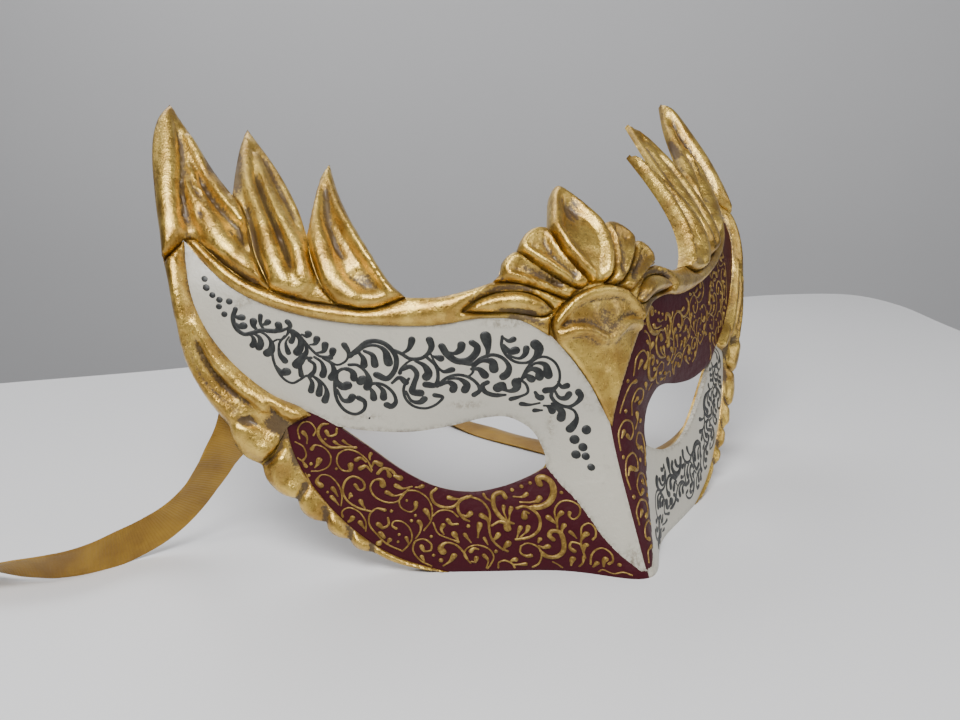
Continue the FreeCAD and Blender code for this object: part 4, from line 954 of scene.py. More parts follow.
@dataclass(frozen=True)
class Placing:
    """How strokes are set on the pattern: mirrored, then scaled, turned and moved."""

    mirror: bool = False
    scale: float = 1.0
    turn: float = 0.0
    move: Point = (0.0, 0.0)
    window: tuple[float, float, float, float] = (-100.0, 100.0, -10.0, 120.0)

    def points(self, path: list[Point]) -> np.ndarray:
        """The path's points where they are set."""
        p = np.array(path, float)
        if self.mirror:
            p[:, 0] *= -1
        c, s = math.cos(math.radians(self.turn)), math.sin(math.radians(self.turn))
        return self.scale * p @ np.array([[c, s], [-s, c]]) + np.array(self.move)

    def kept(self, line: np.ndarray, field_edge: np.ndarray, margin: float) -> np.ndarray:
        """The longest stretch of a line that lies in the window and inside a field.

        Args:
            line: its points; field_edge: the field's outline; margin: how far the line
                stays from the outline.
        Returns:
            The stretch's points, maybe none.
        """
        x, z = line.T
        west, east, low, high = self.window
        ring = np.vstack([field_edge, field_edge[:1]])
        good = (x > west) & (x < east) & (z > low) & (z < high) & (distance_to(ring, x, z)[0] > margin)
        a, b = ring[:-1], ring[1:]
        for i, (px, pz) in enumerate(line):
            cross = (a[:, 1] > pz) != (b[:, 1] > pz)
            at = a[cross, 0] + (pz - a[cross, 1]) * (b[cross, 0] - a[cross, 0]) / (b[cross, 1] - a[cross, 1])
            good[i] &= np.sum(at > px) % 2 == 1
        ends = np.flatnonzero(np.diff(np.r_[0, good.astype(int), 0]))
        if len(ends) == 0:
            return line[:0]
        start, stop = max(zip(ends[::2], ends[1::2]), key=lambda run: run[1] - run[0])
        return line[start:stop]


class Paint(Enum):
    """What scrollwork is laid with."""

    INK = "black paint"
    PASTE = "gold paste"


@dataclass
class Scrollwork:
    """Curls and drops of paint laid on one painted field."""

    name: str
    paint: Paint
    field_edge: np.ndarray
    curls: list[Curl]
    dots: list[tuple[float, float, float]]
    placings: tuple[Placing, ...] = (Placing(),)
    rise: float = 0.3
    ground: float = 0.1
    body: float = 1.0
    swell: float = 3.6
    stroke_gap: float = 0.45
    dot_gap: float = 0.9
    fewest: int = 10
    sunk: float = 0.3

    def build(self, finish: bpy.types.Material) -> None:
        """Makes the scrollwork.

        Args:
            finish: its paint's finish.
        """
        curve = bpy.data.curves.new(self.name, "CURVE")
        curve.dimensions = "3D"
        curve.bevel_depth = 1.0
        curve.bevel_resolution = 2
        curve.use_fill_caps = True
        laid = 0
        for placing in self.placings:
            for thin, fat, path in self.curls:
                whole = smooth_run([tuple(p) for p in placing.points(path)], 0.3)
                line = placing.kept(whole, self.field_edge, self.stroke_gap)
                if len(line) == len(whole) or len(line) >= self.fewest:
                    drop = fat * min(1.0, placing.scale + 0.12)
                    self.stroke(curve, line, thin * self.body, drop * self.body)
                    laid += 1
            for x, z, radius in self.dots:
                p = placing.points([(x, z), (x + 0.05, z + 0.1)])
                if len(placing.kept(p, self.field_edge, self.dot_gap)) == len(p):
                    self.stroke(curve, p, radius * self.body, radius * self.body)
        holder = bpy.data.objects.new(self.name, curve)
        mesh = bpy.data.meshes.new_from_object(holder)
        bpy.data.objects.remove(holder)
        bpy.data.curves.remove(curve)
        bm = bmesh.new()
        bm.from_mesh(mesh)
        bpy.data.meshes.remove(mesh)
        underside = [v for v in bm.verts if v.co.z < -0.05]
        bmesh.ops.scale(bm, verts=bm.verts[:], vec=(1, 1, self.rise))
        bmesh.ops.scale(bm, verts=underside, vec=(1, 1, self.sunk))
        flat = np.array([v.co for v in bm.verts]) + np.array([0, 0, self.ground])
        for vert, place in zip(bm.verts, FACE.wrap(flat)):
            vert.co = place
        bmesh.ops.recalc_face_normals(bm, faces=bm.faces[:])
        piece = finish_mesh(bm, self.name, finish)
        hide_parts("face_shell")
        LOG.info("%s: %d strokes", self.name, laid)

    def stroke(self, curve: bpy.types.Curve, line: np.ndarray, thin: float, fat: float) -> None:
        """Adds one stroke with rounded ends to the curve.

        Args:
            curve: takes the stroke; line: its points; thin, fat: the radii at its start
                and end.
        """
        gone = np.r_[0, np.cumsum(np.linalg.norm(np.diff(line, axis=0), axis=1))]
        length = gone[-1]
        drop = min(length, self.swell * fat)
        swell = np.clip((gone - (length - drop)) / max(drop, 1e-6), 0, 1)
        radius = thin + (fat - thin) * (3 * swell ** 2 - 2 * swell ** 3)
        first = (line[1] - line[0]) / max(np.linalg.norm(line[1] - line[0]), 1e-9)
        last = (line[-1] - line[-2]) / max(np.linalg.norm(line[-1] - line[-2]), 1e-9)
        caps = np.array([0.35, 0.65, 0.86, 0.97])
        head = [(line[0] - first * thin * c, thin * math.sqrt(1 - c * c)) for c in caps[::-1]]
        tail = [(line[-1] + last * fat * c, fat * math.sqrt(1 - c * c)) for c in caps]
        stations = head + list(zip(line, radius)) + tail
        spline = curve.splines.new("POLY")
        spline.points.add(len(stations) - 1)
        for point, (place, size) in zip(spline.points, stations):
            point.co = (place[0], place[1], 0.0, 1.0)
            point.radius = size


# ---- finishes -----------------------------------------------------------------------
class Shader:
    """A node material under construction."""

    def __init__(self, name: str) -> None:
        """Starts an empty material with a Principled shader.

        Args:
            name: the material's name.
        """
        self.material = bpy.data.materials.new(name)
        self.material.use_nodes = True
        self.tree = self.material.node_tree
        self.bsdf = self.tree.nodes["Principled BSDF"]
        self.coords = self.node("ShaderNodeTexCoord").outputs["Object"]

    def node(self, kind: str, **settings: object) -> bpy.types.Node:
        """Adds a node.

        Args:
            kind: the node's type; settings: its properties.
        Returns:
            The node.
        """
        made = self.tree.nodes.new(kind)
        for key, value in settings.items():
            setattr(made, key, value)
        return made

    def feed(self, socket: bpy.types.NodeSocket, value: object) -> None:
        """Links a socket, or sets it if value is a constant."""
        if isinstance(value, bpy.types.NodeSocket):
            self.tree.links.new(value, socket)
        else:
            socket.default_value = value

    def noise(self, scale: float, detail: float = 3.0, stretch: Spot3 = (1, 1, 1),
              rough: float = 0.55) -> bpy.types.NodeSocket:
        """Noise over the object's own coordinates.

        Args:
            scale: waves to the metre; detail: octaves; stretch: factor along each axis;
            rough: strength of the octaves.
        Returns:
            The noise, about 0.2 to 0.8.
        """
        place = self.coords
        if stretch != (1, 1, 1):
            shift = self.node("ShaderNodeMapping")
            shift.inputs["Scale"].default_value = stretch
            self.feed(shift.inputs["Vector"], place)
            place = shift.outputs[0]
        made = self.node("ShaderNodeTexNoise")
        self.feed(made.inputs["Vector"], place)
        made.inputs["Scale"].default_value = scale
        made.inputs["Detail"].default_value = detail
        made.inputs["Roughness"].default_value = rough
        return made.outputs["Fac"]

    def attribute(self, name: str) -> bpy.types.NodeSocket:
        """A number stored on the mesh under this name."""
        return self.node("ShaderNodeAttribute", attribute_name=name).outputs["Fac"]

    def span(self, value: object, low: float, high: float, to_low: float = 0.0,
             to_high: float = 1.0) -> bpy.types.NodeSocket:
        """Maps low..high to to_low..to_high and clamps."""
        made = self.node("ShaderNodeMapRange", interpolation_type="SMOOTHSTEP")
        for socket, number in zip(made.inputs[:5], (value, low, high, to_low, to_high)):
            self.feed(socket, number)
        return made.outputs[0]

    def math(self, operation: str, a: object, b: object) -> bpy.types.NodeSocket:
        """One clamped step of arithmetic."""
        made = self.node("ShaderNodeMath", operation=operation, use_clamp=True)
        self.feed(made.inputs[0], a)
        self.feed(made.inputs[1], b)
        return made.outputs[0]

    def blend(self, amount: object, a: object, b: object, number: bool = False) -> bpy.types.NodeSocket:
        """Mixes two colours, or two numbers.

        Args:
            amount: 0 for a, 1 for b; a, b: colours or sockets; number: True for numbers.
        Returns:
            The mixed value.
        """
        kind = "FLOAT" if number else "RGBA"
        made = self.node("ShaderNodeMix", data_type=kind, clamp_factor=True)
        ins = [s for s in made.inputs if s.enabled]
        self.feed(ins[0], amount)
        for socket, value in zip(ins[1:], (a, b)):
            self.feed(socket, (*value, 1.0) if isinstance(value, tuple) else value)
        return next(s for s in made.outputs if s.enabled)

    def bump(self, *layers: tuple[bpy.types.NodeSocket, float]) -> None:
        """Chains bumps of a height in metres each into the shader's normal."""
        normal = None
        for height, size in layers:
            made = self.node("ShaderNodeBump")
            made.inputs["Distance"].default_value = size
            made.inputs["Strength"].default_value = 1.0
            self.feed(made.inputs["Height"], height)
            if normal is not None:
                self.feed(made.inputs["Normal"], normal)
            normal = made.outputs[0]
        self.feed(self.bsdf.inputs["Normal"], normal)

    def surface(self, **values: object) -> bpy.types.Material:
        """Sets the shader's inputs and returns the material."""
        for key, value in values.items():
            name = key.replace("_", " ").title().replace("Ior", "IOR")
            self.feed(self.bsdf.inputs[name], (*value, 1.0) if isinstance(value, tuple) else value)
        return self.material


@dataclass(frozen=True)
class GoldLeaf:
    """Rubbed imitation gold leaf with dark patina in the hollows."""

    name: str = "gold_leaf"
    bright: Spot3 = (0.72, 0.49, 0.11)
    deep: Spot3 = (0.40, 0.235, 0.045)
    patina: Spot3 = (0.030, 0.013, 0.007)
    grain: float = 1500.0

    def material(self) -> bpy.types.Material:
        """The finish, which reads the mesh's patina attribute."""
        s = Shader(self.name)
        cloud = s.noise(120, 5, rough=0.65)
        speck = s.noise(self.grain, 4, rough=0.7)
        streak = s.noise(420, 4, stretch=(1.0, 1.0, 0.28), rough=0.7)
        gold = s.blend(s.span(cloud, 0.38, 0.66), self.deep, self.bright)
        stored = s.attribute("patina")
        mottled = s.math("MULTIPLY", stored, s.span(speck, 0.35, 0.65))
        rubbed = s.span(s.math("ADD", stored, mottled), 0.28, 1.2)
        worn = s.math("MULTIPLY", s.span(streak, 0.60, 0.76), s.span(cloud, 0.42, 0.62, 0.75, 0.15))
        dark = s.math("MAXIMUM", rubbed, s.math("MULTIPLY", worn, 0.62))
        colour = s.blend(dark, gold, self.patina)
        s.bump((cloud, 0.0007), (streak, 0.00018), (speck, 0.00011))
        return s.surface(base_color=colour, metallic=s.blend(dark, 0.92, 0.15, True),
                         roughness=s.blend(dark, s.span(speck, 0.3, 0.7, 0.25, 0.42), 0.62, True),
                         coat_weight=0.3, coat_roughness=0.3)


@dataclass(frozen=True)
class Gesso:
    """Hand-laid matt paint with faint brush marks and rubbed patches."""

    name: str
    colour: Spot3
    rub: Spot3
    rub_amount: float
    roughness: float = 0.55
    coat: float = 0.0
    gleam: float = 0.5

    def material(self) -> bpy.types.Material:
        """The finish, darkened towards its rub colour where the mesh's patina attribute is high."""
        s = Shader(self.name)
        cloud = s.noise(170, 5, rough=0.7)
        brush = s.noise(700, 3, stretch=(0.35, 1.0, 1.0))
        stored = s.math("MULTIPLY", s.attribute("patina"), s.span(s.noise(900, 5, rough=0.75), 0.42, 0.6))
        rub = s.math("ADD", s.math("MULTIPLY", s.span(cloud, 0.60, 0.80), self.rub_amount), stored)
        s.bump((cloud, 0.00035), (brush, 0.00007))
        return s.surface(base_color=s.blend(rub, self.colour, self.rub),
                         roughness=s.span(cloud, 0.3, 0.7, self.roughness + 0.06, self.roughness - 0.08),
                         coat_weight=self.coat, coat_roughness=0.28, specular_ior_level=self.gleam)


@dataclass(frozen=True)
class Stroke:
    """Thick paint laid with a fine nozzle or brush."""

    name: str
    colour: Spot3
    dark: Spot3
    metallic: float
    roughness: float

    def material(self) -> bpy.types.Material:
        """The finish."""
        s = Shader(self.name)
        cloud = s.noise(500, 4, rough=0.7)
        speck = s.noise(2600, 3)
        s.bump((speck, 0.00005))
        return s.surface(base_color=s.blend(s.span(cloud, 0.42, 0.64), self.dark, self.colour),
                         metallic=self.metallic, roughness=s.span(speck, 0.3, 0.7, self.roughness,
                                                                  self.roughness + 0.15))


@dataclass(frozen=True)
class Satin:
    """Satin ribbon: fine ribs across it and a stronger shine along them."""

    name: str = "satin_ribbon"
    colour: Spot3 = (0.34, 0.185, 0.010)
    dark: Spot3 = (0.22, 0.11, 0.005)

    def material(self) -> bpy.types.Material:
        """The finish, which reads the ribbon's own UV map in metres."""
        s = Shader(self.name)
        uv = s.node("ShaderNodeUVMap", uv_map="cloth").outputs[0]
        ribs = s.node("ShaderNodeTexWave", wave_type="BANDS", bands_direction="X")
        s.feed(ribs.inputs["Vector"], uv)
        ribs.inputs["Scale"].default_value = 420.0
        ribs.inputs["Distortion"].default_value = 1.2
        warp = s.node("ShaderNodeTexWave", wave_type="BANDS", bands_direction="Y")
        s.feed(warp.inputs["Vector"], uv)
        warp.inputs["Scale"].default_value = 900.0
        cloud = s.noise(90, 4)
        s.bump((ribs.outputs["Fac"], 0.000045), (warp.outputs["Fac"], 0.00002), (cloud, 0.0006))
        return s.surface(base_color=s.blend(s.span(cloud, 0.35, 0.65), self.dark, self.colour),
                         metallic=0.3, roughness=0.4, anisotropic=0.5, sheen_weight=0.04)


@dataclass(frozen=True)
class Paper:
    """The bare inside: layers of torn paper under a thin wash."""

    name: str = "paper_inside"
    colour: Spot3 = (0.36, 0.30, 0.22)
    dark: Spot3 = (0.21, 0.155, 0.10)

    def material(self) -> bpy.types.Material:
        """The finish, with the edges of torn sheets in its relief."""
        s = Shader(self.name)
        scraps = s.node("ShaderNodeTexVoronoi", feature="DISTANCE_TO_EDGE")
        s.feed(scraps.inputs["Vector"], s.coords)
        scraps.inputs["Scale"].default_value = 52.0
        edge = s.span(scraps.outputs["Distance"], 0.0, 0.09)
        sheets = s.node("ShaderNodeTexVoronoi")
        s.feed(sheets.inputs["Vector"], s.coords)
        sheets.inputs["Scale"].default_value = 52.0
        fibre = s.noise(1300, 5, rough=0.7)
        torn = s.math("MULTIPLY", sheets.outputs["Distance"], 0.7)
        tone = s.math("ADD", s.math("MULTIPLY", s.span(fibre, 0.35, 0.7), 0.5), torn)
        s.bump((edge, 0.00025), (fibre, 0.00012))
        return s.surface(base_color=s.blend(tone, self.dark, self.colour), roughness=0.82)


@dataclass(frozen=True)
class Plain:
    """A surface of the studio."""

    name: str
    colour: Spot3
    roughness: float

    def material(self) -> bpy.types.Material:
        """The finish, with faint smudges."""
        s = Shader(self.name)
        cloud = s.noise(9, 4)
        pale = tuple(min(1.0, c * 1.04) for c in self.colour)
        return s.surface(base_color=s.blend(cloud, self.colour, pale), roughness=self.roughness)


# ---- ribbons ------------------------------------------------------------------------
@dataclass(frozen=True)
class RibbonRoute:
    """The middle line of a ribbon in millimetres and which way its width lies."""

    side: Side
    points: list[Spot3]
    across: list[Spot3]
    coil: Point
    coil_radius: tuple[float, float] = (25.0, 14.2)
    coil_steps: int = 17

    def spiral(self) -> list[Spot3]:
        """The control points of the rolled end, which follow the route's last one."""
        first, last = self.coil_radius
        out = []
        for i in range(1, self.coil_steps + 1):
            radius = first + (last - first) * i / self.coil_steps
            turn = math.radians(45 * i)
            out.append((self.coil[0] + radius * math.cos(turn), self.coil[1] + radius * math.sin(turn), 5.0))
        return out


RIBBON_LEFT = RibbonRoute(
    Side.LEFT,
    [(-81.5, 10.9, 38.0), (-82.2, 11.9, 33.6), (-84.9, 15.2, 28.4), (-88.0, 18.9, 21.4),
     (-92.8, 21.6, 14.2), (-99.0, 23.4, 8.6), (-107.0, 23.8, 5.4), (-116.6, 20.8, 4.9),
     (-125.2, 20.6, 4.9), (-132.2, 22.9, 5.3), (-139.5, 26.6, 5.7), (-147.5, 32.3, 5.4),
     (-155.0, 40.9, 5.1), (-160.6, 51.7, 5.0), (-163.0, 66.0, 5.0)],
    [(0.86, -0.51, 0), (0.92, -0.3, 0), (0.98, 0.1, -0.1), (0.9, 0.3, -0.35),
     (0.75, 0.25, -0.6), (0.6, 0.18, -0.8), (0.46, 0.24, -0.85), (0.26, 0.36, -0.89),
     (0.12, 0.5, -0.86), (0.03, 0.7, -0.7), (0.05, 0.88, -0.45), (0.1, 0.6, -0.8),
     (0.05, 0.2, -1), (0, 0, -1), (0, 0, -1)],
    (-188.0, 68.0),
)
RIBBON_RIGHT = RibbonRoute(
    Side.RIGHT,
    [(81.5, 10.9, 38.0), (81.6, 11.2, 31.0), (81.9, 13.5, 24.0), (80.8, 16.2, 16.0),
     (77.2, 16.8, 8.6), (70.5, 15.0, 3.4), (61.0, 12.6, 1.6), (50.5, 12.6, 1.6),
     (40.8, 18.0, 1.6), (33.0, 30.0, 1.6), (26.5, 46.0, 1.6), (20.8, 61.5, 1.6),
     (17.2, 78.5, 1.6), (17.6, 95.5, 3.2), (21.0, 110.5, 5.0)],
    [(0.86, 0.51, 0), (0.86, 0.51, 0), (0.8, 0.6, 0), (0.55, 0.83, 0),
     (0.3, 0.95, 0), (0.1, 1, 0), (0, 1, 0), (0.15, 1, 0),
     (0.6, 0.75, 0), (0.9, 0.42, 0), (0.93, 0.36, 0), (0.95, 0.3, 0),
     (0.93, 0.1, -0.2), (0.5, 0, -0.8), (0, 0, -1)],
    (-4.0, 112.0),
)


@dataclass
class SatinRibbon:
    """One satin ribbon, from its tab to the loosely rolled end."""

    route: RibbonRoute
    width: float = 10.0
    cloth: float = 0.32
    cup: float = 1.1
    columns: int = 10

    def centreline(self) -> np.ndarray:
        """The middle line, read from the route's NURBS spline.

        Returns:
            Its points in metres.
        """
        points = self.route.points + self.route.spiral()
        curve = bpy.data.curves.new("route", "CURVE")
        curve.dimensions = "3D"
        spline = curve.splines.new("NURBS")
        spline.points.add(len(points) - 1)
        for point, (x, y, z) in zip(spline.points, points):
            point.co = (x * MM, y * MM, z * MM, 1.0)
        spline.order_u = 3
        spline.use_endpoint_u = True
        spline.resolution_u = 10
        holder = bpy.data.objects.new("route", curve)
        mesh = bpy.data.meshes.new_from_object(holder)
        line = np.array([v.co for v in mesh.vertices])
        bpy.data.objects.remove(holder)
        bpy.data.curves.remove(curve)
        bpy.data.meshes.remove(mesh)
        return line

    def build(self, satin: bpy.types.Material) -> bpy.types.Object:
        """Args:
            satin: its finish.
        Returns:
            The ribbon.
        """
        line = self.centreline()
        steps = np.r_[0, np.cumsum(np.linalg.norm(np.diff(line, axis=0), axis=1))]
        ahead = np.gradient(line, axis=0)
        ahead /= np.linalg.norm(ahead, axis=1)[:, None]
        named = np.array(self.route.across + [(0, 0, -1)] * self.route.coil_steps, float)
        stations = np.linspace(0, len(named) - 1, len(line))
        across = np.stack([np.interp(stations, np.arange(len(named)), named[:, k]) for k in range(3)], 1)
        across -= (across * ahead).sum(1)[:, None] * ahead
        across /= np.linalg.norm(across, axis=1)[:, None]
        out = np.cross(across, ahead)
        out *= np.where(out[:, 2] < 0, -1, 1)[:, None]
        lying = np.clip(1.4 * np.abs(out[:, 2]) - 0.3, 0, 1)
        bm = bmesh.new()
        bmesh.ops.create_grid(bm, x_segments=len(line) - 1, y_segments=self.columns, size=1.0)
        bm.verts.sort()
        cloth_map = bm.loops.layers.uv.new("cloth")
        for vert in bm.verts:
            i = round((vert.co.x + 1) / 2 * (len(line) - 1))
            v = vert.co.y
            arch = self.cup * (0.35 - v * v) * lying[i] + 0.12 * math.sin(steps[i] * 210 + v)
            place = line[i] + across[i] * v * self.width / 2 * MM + out[i] * arch * MM
            place[2] = max(place[2], 0.25 * MM)
            vert.co = place
            for loop in vert.link_loops:
                loop[cloth_map].uv = (steps[i], v * self.width / 2 * MM)
        bmesh.ops.solidify(bm, geom=bm.faces[:], thickness=self.cloth * MM)
        bmesh.ops.recalc_face_normals(bm, faces=bm.faces[:])
        name = "ribbon_" + self.route.side.word
        piece = finish_mesh(bm, "satin_" + name, satin)
        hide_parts(name, "ribbon_coil_" + self.route.side.word)
        LOG.info("%s: %.0f mm long", name, steps[-1] * 1000)
        return piece


@dataclass
class RibbonTab:
    """The ribbon's end, folded, glued flat inside the temple and held with stitches."""

    side: Side
    centre: Point = (81.0, 44.2)
    size: Point = (10.6, 11.4)
    depth: float = 2.1
    skin: float = -2.42
    hem: float = 0.09
    cloth: float = 0.25
    stitches: int = 6
    first_stitch: float = -3.9
    stitch_step: float = 1.55
    stitch_row: float = -4.0
    stitch_lean: float = 0.6
    thread: float = 0.42

    def puff(self, u: float, v: float) -> float:
        """How far the tab stands up at a place, as a part of its depth.

        Args:
            u, v: the place, from -0.5 to 0.5 across and up.
        Returns:
            The part, 0 at the rim.
        """
        inner = 0.5 - max(abs(u), abs(v))
        rise = min(1.0, inner / self.hem) ** 0.5 if inner > 0 else 0.0
        slanted_fold = 0.22 * math.exp(-((v - 0.12 * u - 0.16) / 0.05) ** 2)
        lower_fold = 0.16 * math.exp(-((v + 0.24) / 0.06) ** 2)
        return rise * (0.86 - slanted_fold - lower_fold)

    def build(self, satin: bpy.types.Material, thread: bpy.types.Material) -> None:
        """Makes the tab.

        Args:
            satin: the folded ribbon's finish; thread: the stitches' finish.
        """
        bm = bmesh.new()
        bmesh.ops.create_grid(bm, x_segments=34, y_segments=34, size=0.5)
        cloth_map = bm.loops.layers.uv.new("cloth")
        wide, high = self.size
        for face in bm.faces:
            for loop in face.loops:
                loop[cloth_map].uv = (loop.vert.co.x * wide * MM, loop.vert.co.y * high * MM)
        made = bmesh.ops.extrude_face_region(bm, geom=bm.faces[:], use_keep_orig=True)
        back = {g for g in made["geom"] if isinstance(g, bmesh.types.BMVert)}
        flat = []
        for vert in bm.verts:
            u, v = vert.co.x, vert.co.y
            corner = 1.0 - 0.03 * (2 * abs(u)) ** 8 * (2 * abs(v)) ** 8
            height = self.skin - self.cloth - self.depth * self.puff(u, v) if vert in back else self.skin
            flat.append((self.side.value * (self.centre[0] + u * wide * corner),
                         self.centre[1] + v * high * corner, height))
        for i in range(self.stitches):
            for lean in (-self.stitch_lean, self.stitch_lean):
                stitch = self.stitch(bm, lean)
                at = self.centre[0] + self.first_stitch + i * self.stitch_step
                for vert in stitch:
                    flat.append((self.side.value * (at + vert.co.x),
                                 self.centre[1] + self.stitch_row + vert.co.y,
                                 self.skin - 0.35 - 0.8 * self.depth + vert.co.z))
        for vert, place in zip(bm.verts, FACE.wrap(np.array(flat))):
            vert.co = place
        bmesh.ops.recalc_face_normals(bm, faces=bm.faces[:])
        piece = finish_mesh(bm, "satin_tab_" + self.side.word, satin, thread)
        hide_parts("ribbon_tab_" + self.side.word)

    def stitch(self, bm: bmesh.types.BMesh, lean: float) -> list[bmesh.types.BMVert]:
        """Adds one stitch of thread.

        Args:
            bm: takes it; lean: its turn in radians.
        Returns:
            Its vertices.
        """
        verts = bmesh.ops.create_uvsphere(bm, u_segments=12, v_segments=8, radius=0.5)["verts"]
        bmesh.ops.scale(bm, verts=verts, vec=(self.thread, 2.3, self.thread))
        bmesh.ops.rotate(bm, verts=verts, matrix=Matrix.Rotation(lean, 3, "Z"))
        for face in {f for v in verts for f in v.link_faces}:
            face.material_index = 1
        return verts


# ---- studio -------------------------------------------------------------------------
@dataclass
class Studio:
    """Table, backdrop, lights and camera. Millimetres."""

    table: Runs = field(default_factory=lambda: [
        [(-900.0, 398.0)], [(-123.0, 227.0)],
        [(-41.0, 211.0), (80.0, 202.0), (200.0, 204.0), (278.0, 203.0), (319.0, 193.0),
         (350.0, 172.0), (347.0, 135.0), (316.0, 76.0), (250.0, -60.0), (190.0, -240.0)],
        [(100.0, -900.0)], [(-900.0, -900.0)]])
    table_depth: float = 18.0
    backdrop_distance: float = 520.0
    camera_at: Spot3 = (-143.45, -214.12, 111.62)
    camera_right: Spot3 = (0.86254, -0.50597, -0.00439)
    camera_up: Spot3 = (0.13197, 0.21659, 0.96730)
    camera_back: Spot3 = (-0.48847, -0.83492, 0.25359)
    lens: float = 35.67

    def build(self) -> None:
        """Makes everything that isn't the mask."""
        self.camera()
        pieces = [self.table_top(), self.backdrop()]
        lights = [
            self.softbox("key", (-330, -330, 620), (-10, 10, 40), 380, 320, 7.6),
            self.softbox("fill", (420, -420, 300), (20, 0, 40), 420, 420, 1.3),
            self.softbox("back", (-80, 420, 520), (0, 30, 50), 520, 300, 1.6),
        ]
        self.sky()

    def camera(self) -> None:
        """The camera, which looks a little down at the mask from its right."""
        data = bpy.data.cameras.new("camera")
        data.lens = self.lens
        data.sensor_width = 36.0
        data.clip_start = 0.005
        data.clip_end = 20.0
        camera = bpy.data.objects.new("camera", data)
        axes = Matrix((self.camera_right, self.camera_up, self.camera_back)).transposed()
        camera.matrix_world = Matrix.Translation(Vector(self.camera_at) * MM) @ axes.to_4x4()
        bpy.context.scene.collection.objects.link(camera)
        bpy.context.scene.camera = camera

    def table_top(self) -> bpy.types.Object:
        """The white table, whose far edge is rounded."""
        bm = bmesh.new()
        under = -self.table_depth * MM
        verts = [bm.verts.new((x * MM, y * MM, under)) for x, y in closed_outline(self.table, 8.0)]
        face = bm.faces.new(verts)
        made = bmesh.ops.extrude_face_region(bm, geom=[face], use_keep_orig=True)
        top = [g for g in made["geom"] if isinstance(g, bmesh.types.BMVert)]
        bmesh.ops.translate(bm, verts=top, vec=(0, 0, self.table_depth * MM))
        rim = [e for e in bm.edges if e.verts[0] in top and e.verts[1] in top]
        bmesh.ops.recalc_face_normals(bm, faces=bm.faces[:])
        bmesh.ops.bevel(bm, geom=rim, offset=1.2 * MM, segments=3, profile=0.5, affect="EDGES", material=-1)
        return self.prop(bm, "table", Plain("table_white", (0.70, 0.70, 0.71), 0.42))

    def backdrop(self) -> bpy.types.Object:
        """A grey wall behind the table, square to the camera, that curves forward below."""
        bm = bmesh.new()
        bmesh.ops.create_grid(bm, x_segments=8, y_segments=24, size=1.0)
        right = Vector((0.863, -0.506, 0))
        away = Vector((0.506, 0.863, 0))
        for vert in bm.verts:
            across, high = vert.co.x * 1.6, vert.co.y
            bend = max(0.0, -high - 0.35) ** 2 * 1.6
            vert.co = right * across + away * (self.backdrop_distance * MM - bend) + Vector((0, 0, high))
        bmesh.ops.reverse_faces(bm, faces=bm.faces[:])
        return self.prop(bm, "backdrop", Plain("wall_grey", (0.56, 0.56, 0.57), 0.9))

    def prop(self, bm: bmesh.types.BMesh, name: str, finish: Plain) -> bpy.types.Object:
        """A mesh of the studio.

        Args:
            bm: its mesh; name: its name; finish: its material's values.
        Returns:
            The object.
        """
        mesh = bpy.data.meshes.new(name)
        bm.to_mesh(mesh)
        bm.free()
        mesh.materials.append(finish.material())
        thing = bpy.data.objects.new(name, mesh)
        bpy.context.scene.collection.objects.link(thing)
        return thing

    def softbox(self, name: str, at: Spot3, aim: Spot3, wide: float, high: float,
                watts: float) -> bpy.types.Object:
        """An area light.

        Args:
            name: its name; at: its place; aim: where it points; wide, high: its size;
            watts: its power.
        Returns:
            The light.
        """
        data = bpy.data.lights.new(name, "AREA")
        data.shape = "RECTANGLE"
        data.size = wide * MM
        data.size_y = high * MM
        data.energy = watts
        light = bpy.data.objects.new(name, data)
        place = Vector(at) * MM
        turn = (Vector(aim) * MM - place).to_track_quat("-Z", "Y").to_matrix().to_4x4()
        light.matrix_world = Matrix.Translation(place) @ turn
        bpy.context.scene.collection.objects.link(light)
        return light

    def sky(self) -> None:
        """A room's grey light, paler above, for the gold to mirror."""
        world = bpy.data.worlds.new("room")
        world.use_nodes = True
        bpy.context.scene.world = world
        tree = world.node_tree
        ramp = tree.nodes.new("ShaderNodeValToRGB")
        coords = tree.nodes.new("ShaderNodeTexCoord")
        split = tree.nodes.new("ShaderNodeSeparateXYZ")
        tree.links.new(coords.outputs["Generated"], split.inputs[0])
        tree.links.new(split.outputs["Z"], ramp.inputs[0])
        tree.links.new(ramp.outputs[0], tree.nodes["Background"].inputs[0])
        ramp.color_ramp.elements[0].color = (0.16, 0.16, 0.17, 1)
        ramp.color_ramp.elements[1].color = (0.95, 0.96, 1.0, 1)
        tree.nodes["Background"].inputs[1].default_value = 0.30


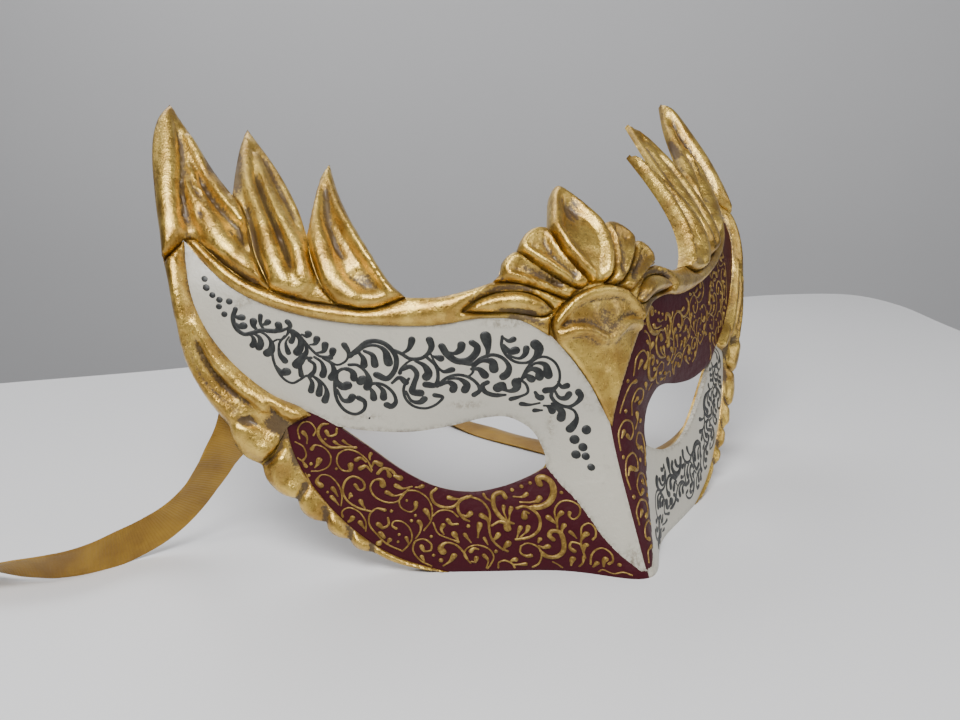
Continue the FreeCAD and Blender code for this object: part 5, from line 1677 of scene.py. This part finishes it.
def scrollworks(panels: PaintedPanels) -> list[Scrollwork]:
    """The four fields' scrollwork.

    Args:
        panels: gives the fields' outlines.
    Returns:
        One scrollwork to a field.
    """
    flip = np.array([-1.0, 1.0])
    brow = closed_outline(panels.outline("brow", 0.0))
    cheek = closed_outline(panels.outline("cheek", 0.0))
    across = (
        Placing(mirror=True, move=(2.0, 38.5), window=(15.8, 60.0, 36.0, 70.0)),
        Placing(mirror=True, turn=24.0, move=(26.6, 12.6), window=(60.4, 92.0, 36.0, 84.0)),
    )
    under = (
        Placing(mirror=True, scale=0.8, move=(4.0, -29.5), window=(10.0, 48.5, 1.6, 17.5)),
        Placing(mirror=True, scale=0.8, turn=50.0, move=(62.6, -34.8), window=(48.9, 73.0, 6.0, 40.0)),
    )
    return [
        Scrollwork("ink_brow_left", Paint.INK, brow * flip, BLACK_CURLS, BLACK_DOTS, rise=0.2, ground=0.11,
                   body=1.22, swell=5.0),
        Scrollwork("paste_cheek_left", Paint.PASTE, cheek * flip, GOLD_CURLS, GOLD_DOTS, rise=0.75,
                   ground=0.06, body=0.86, swell=4.2),
        Scrollwork("paste_brow_right", Paint.PASTE, brow, GOLD_CURLS, GOLD_DOTS, across, rise=0.7,
                   ground=0.09, body=0.86),
        Scrollwork("paste_nose_right", Paint.PASTE, brow, NOSE_CURLS, NOSE_DOTS, rise=0.7, ground=0.09),
        Scrollwork("ink_cheek_right", Paint.INK, cheek, BLACK_CURLS, [], under, rise=0.25, ground=0.07,
                   body=1.1),
    ]


def main() -> None:
    """Builds the mask and its studio."""
    Studio().build()
    gold = GoldLeaf().material()
    white = Gesso("white_gesso", (0.46, 0.435, 0.36), (0.13, 0.10, 0.06), 0.36, 0.46, 0.3).material()
    burgundy = Gesso("burgundy_paint", (0.040, 0.0012, 0.0055), (0.020, 0.001, 0.003), 0.7, 0.5, 0.0,
                     0.22).material()
    ShellLining().build(gold, Paper().material())
    panels = PaintedPanels()
    panels.build(white, burgundy)
    ink = Stroke("black_paint", (0.022, 0.024, 0.022), (0.008, 0.009, 0.009), 0.0, 0.38).material()
    paste = Stroke("gold_paint", (0.36, 0.235, 0.05), (0.17, 0.095, 0.016), 0.45, 0.38).material()
    for group in (Palmette(), Flames(), Borders()):
        for piece in group.pieces():
            piece.build(gold)
    for work in scrollworks(panels):
        work.build({Paint.INK: ink, Paint.PASTE: paste}[work.paint])
    satin = Satin().material()
    for route in (RIBBON_LEFT, RIBBON_RIGHT):
        SatinRibbon(route).build(satin)
        RibbonTab(route.side).build(satin, Plain("thread", (0.30, 0.17, 0.02), 0.6).material())


if __name__ == "__main__":
    main()
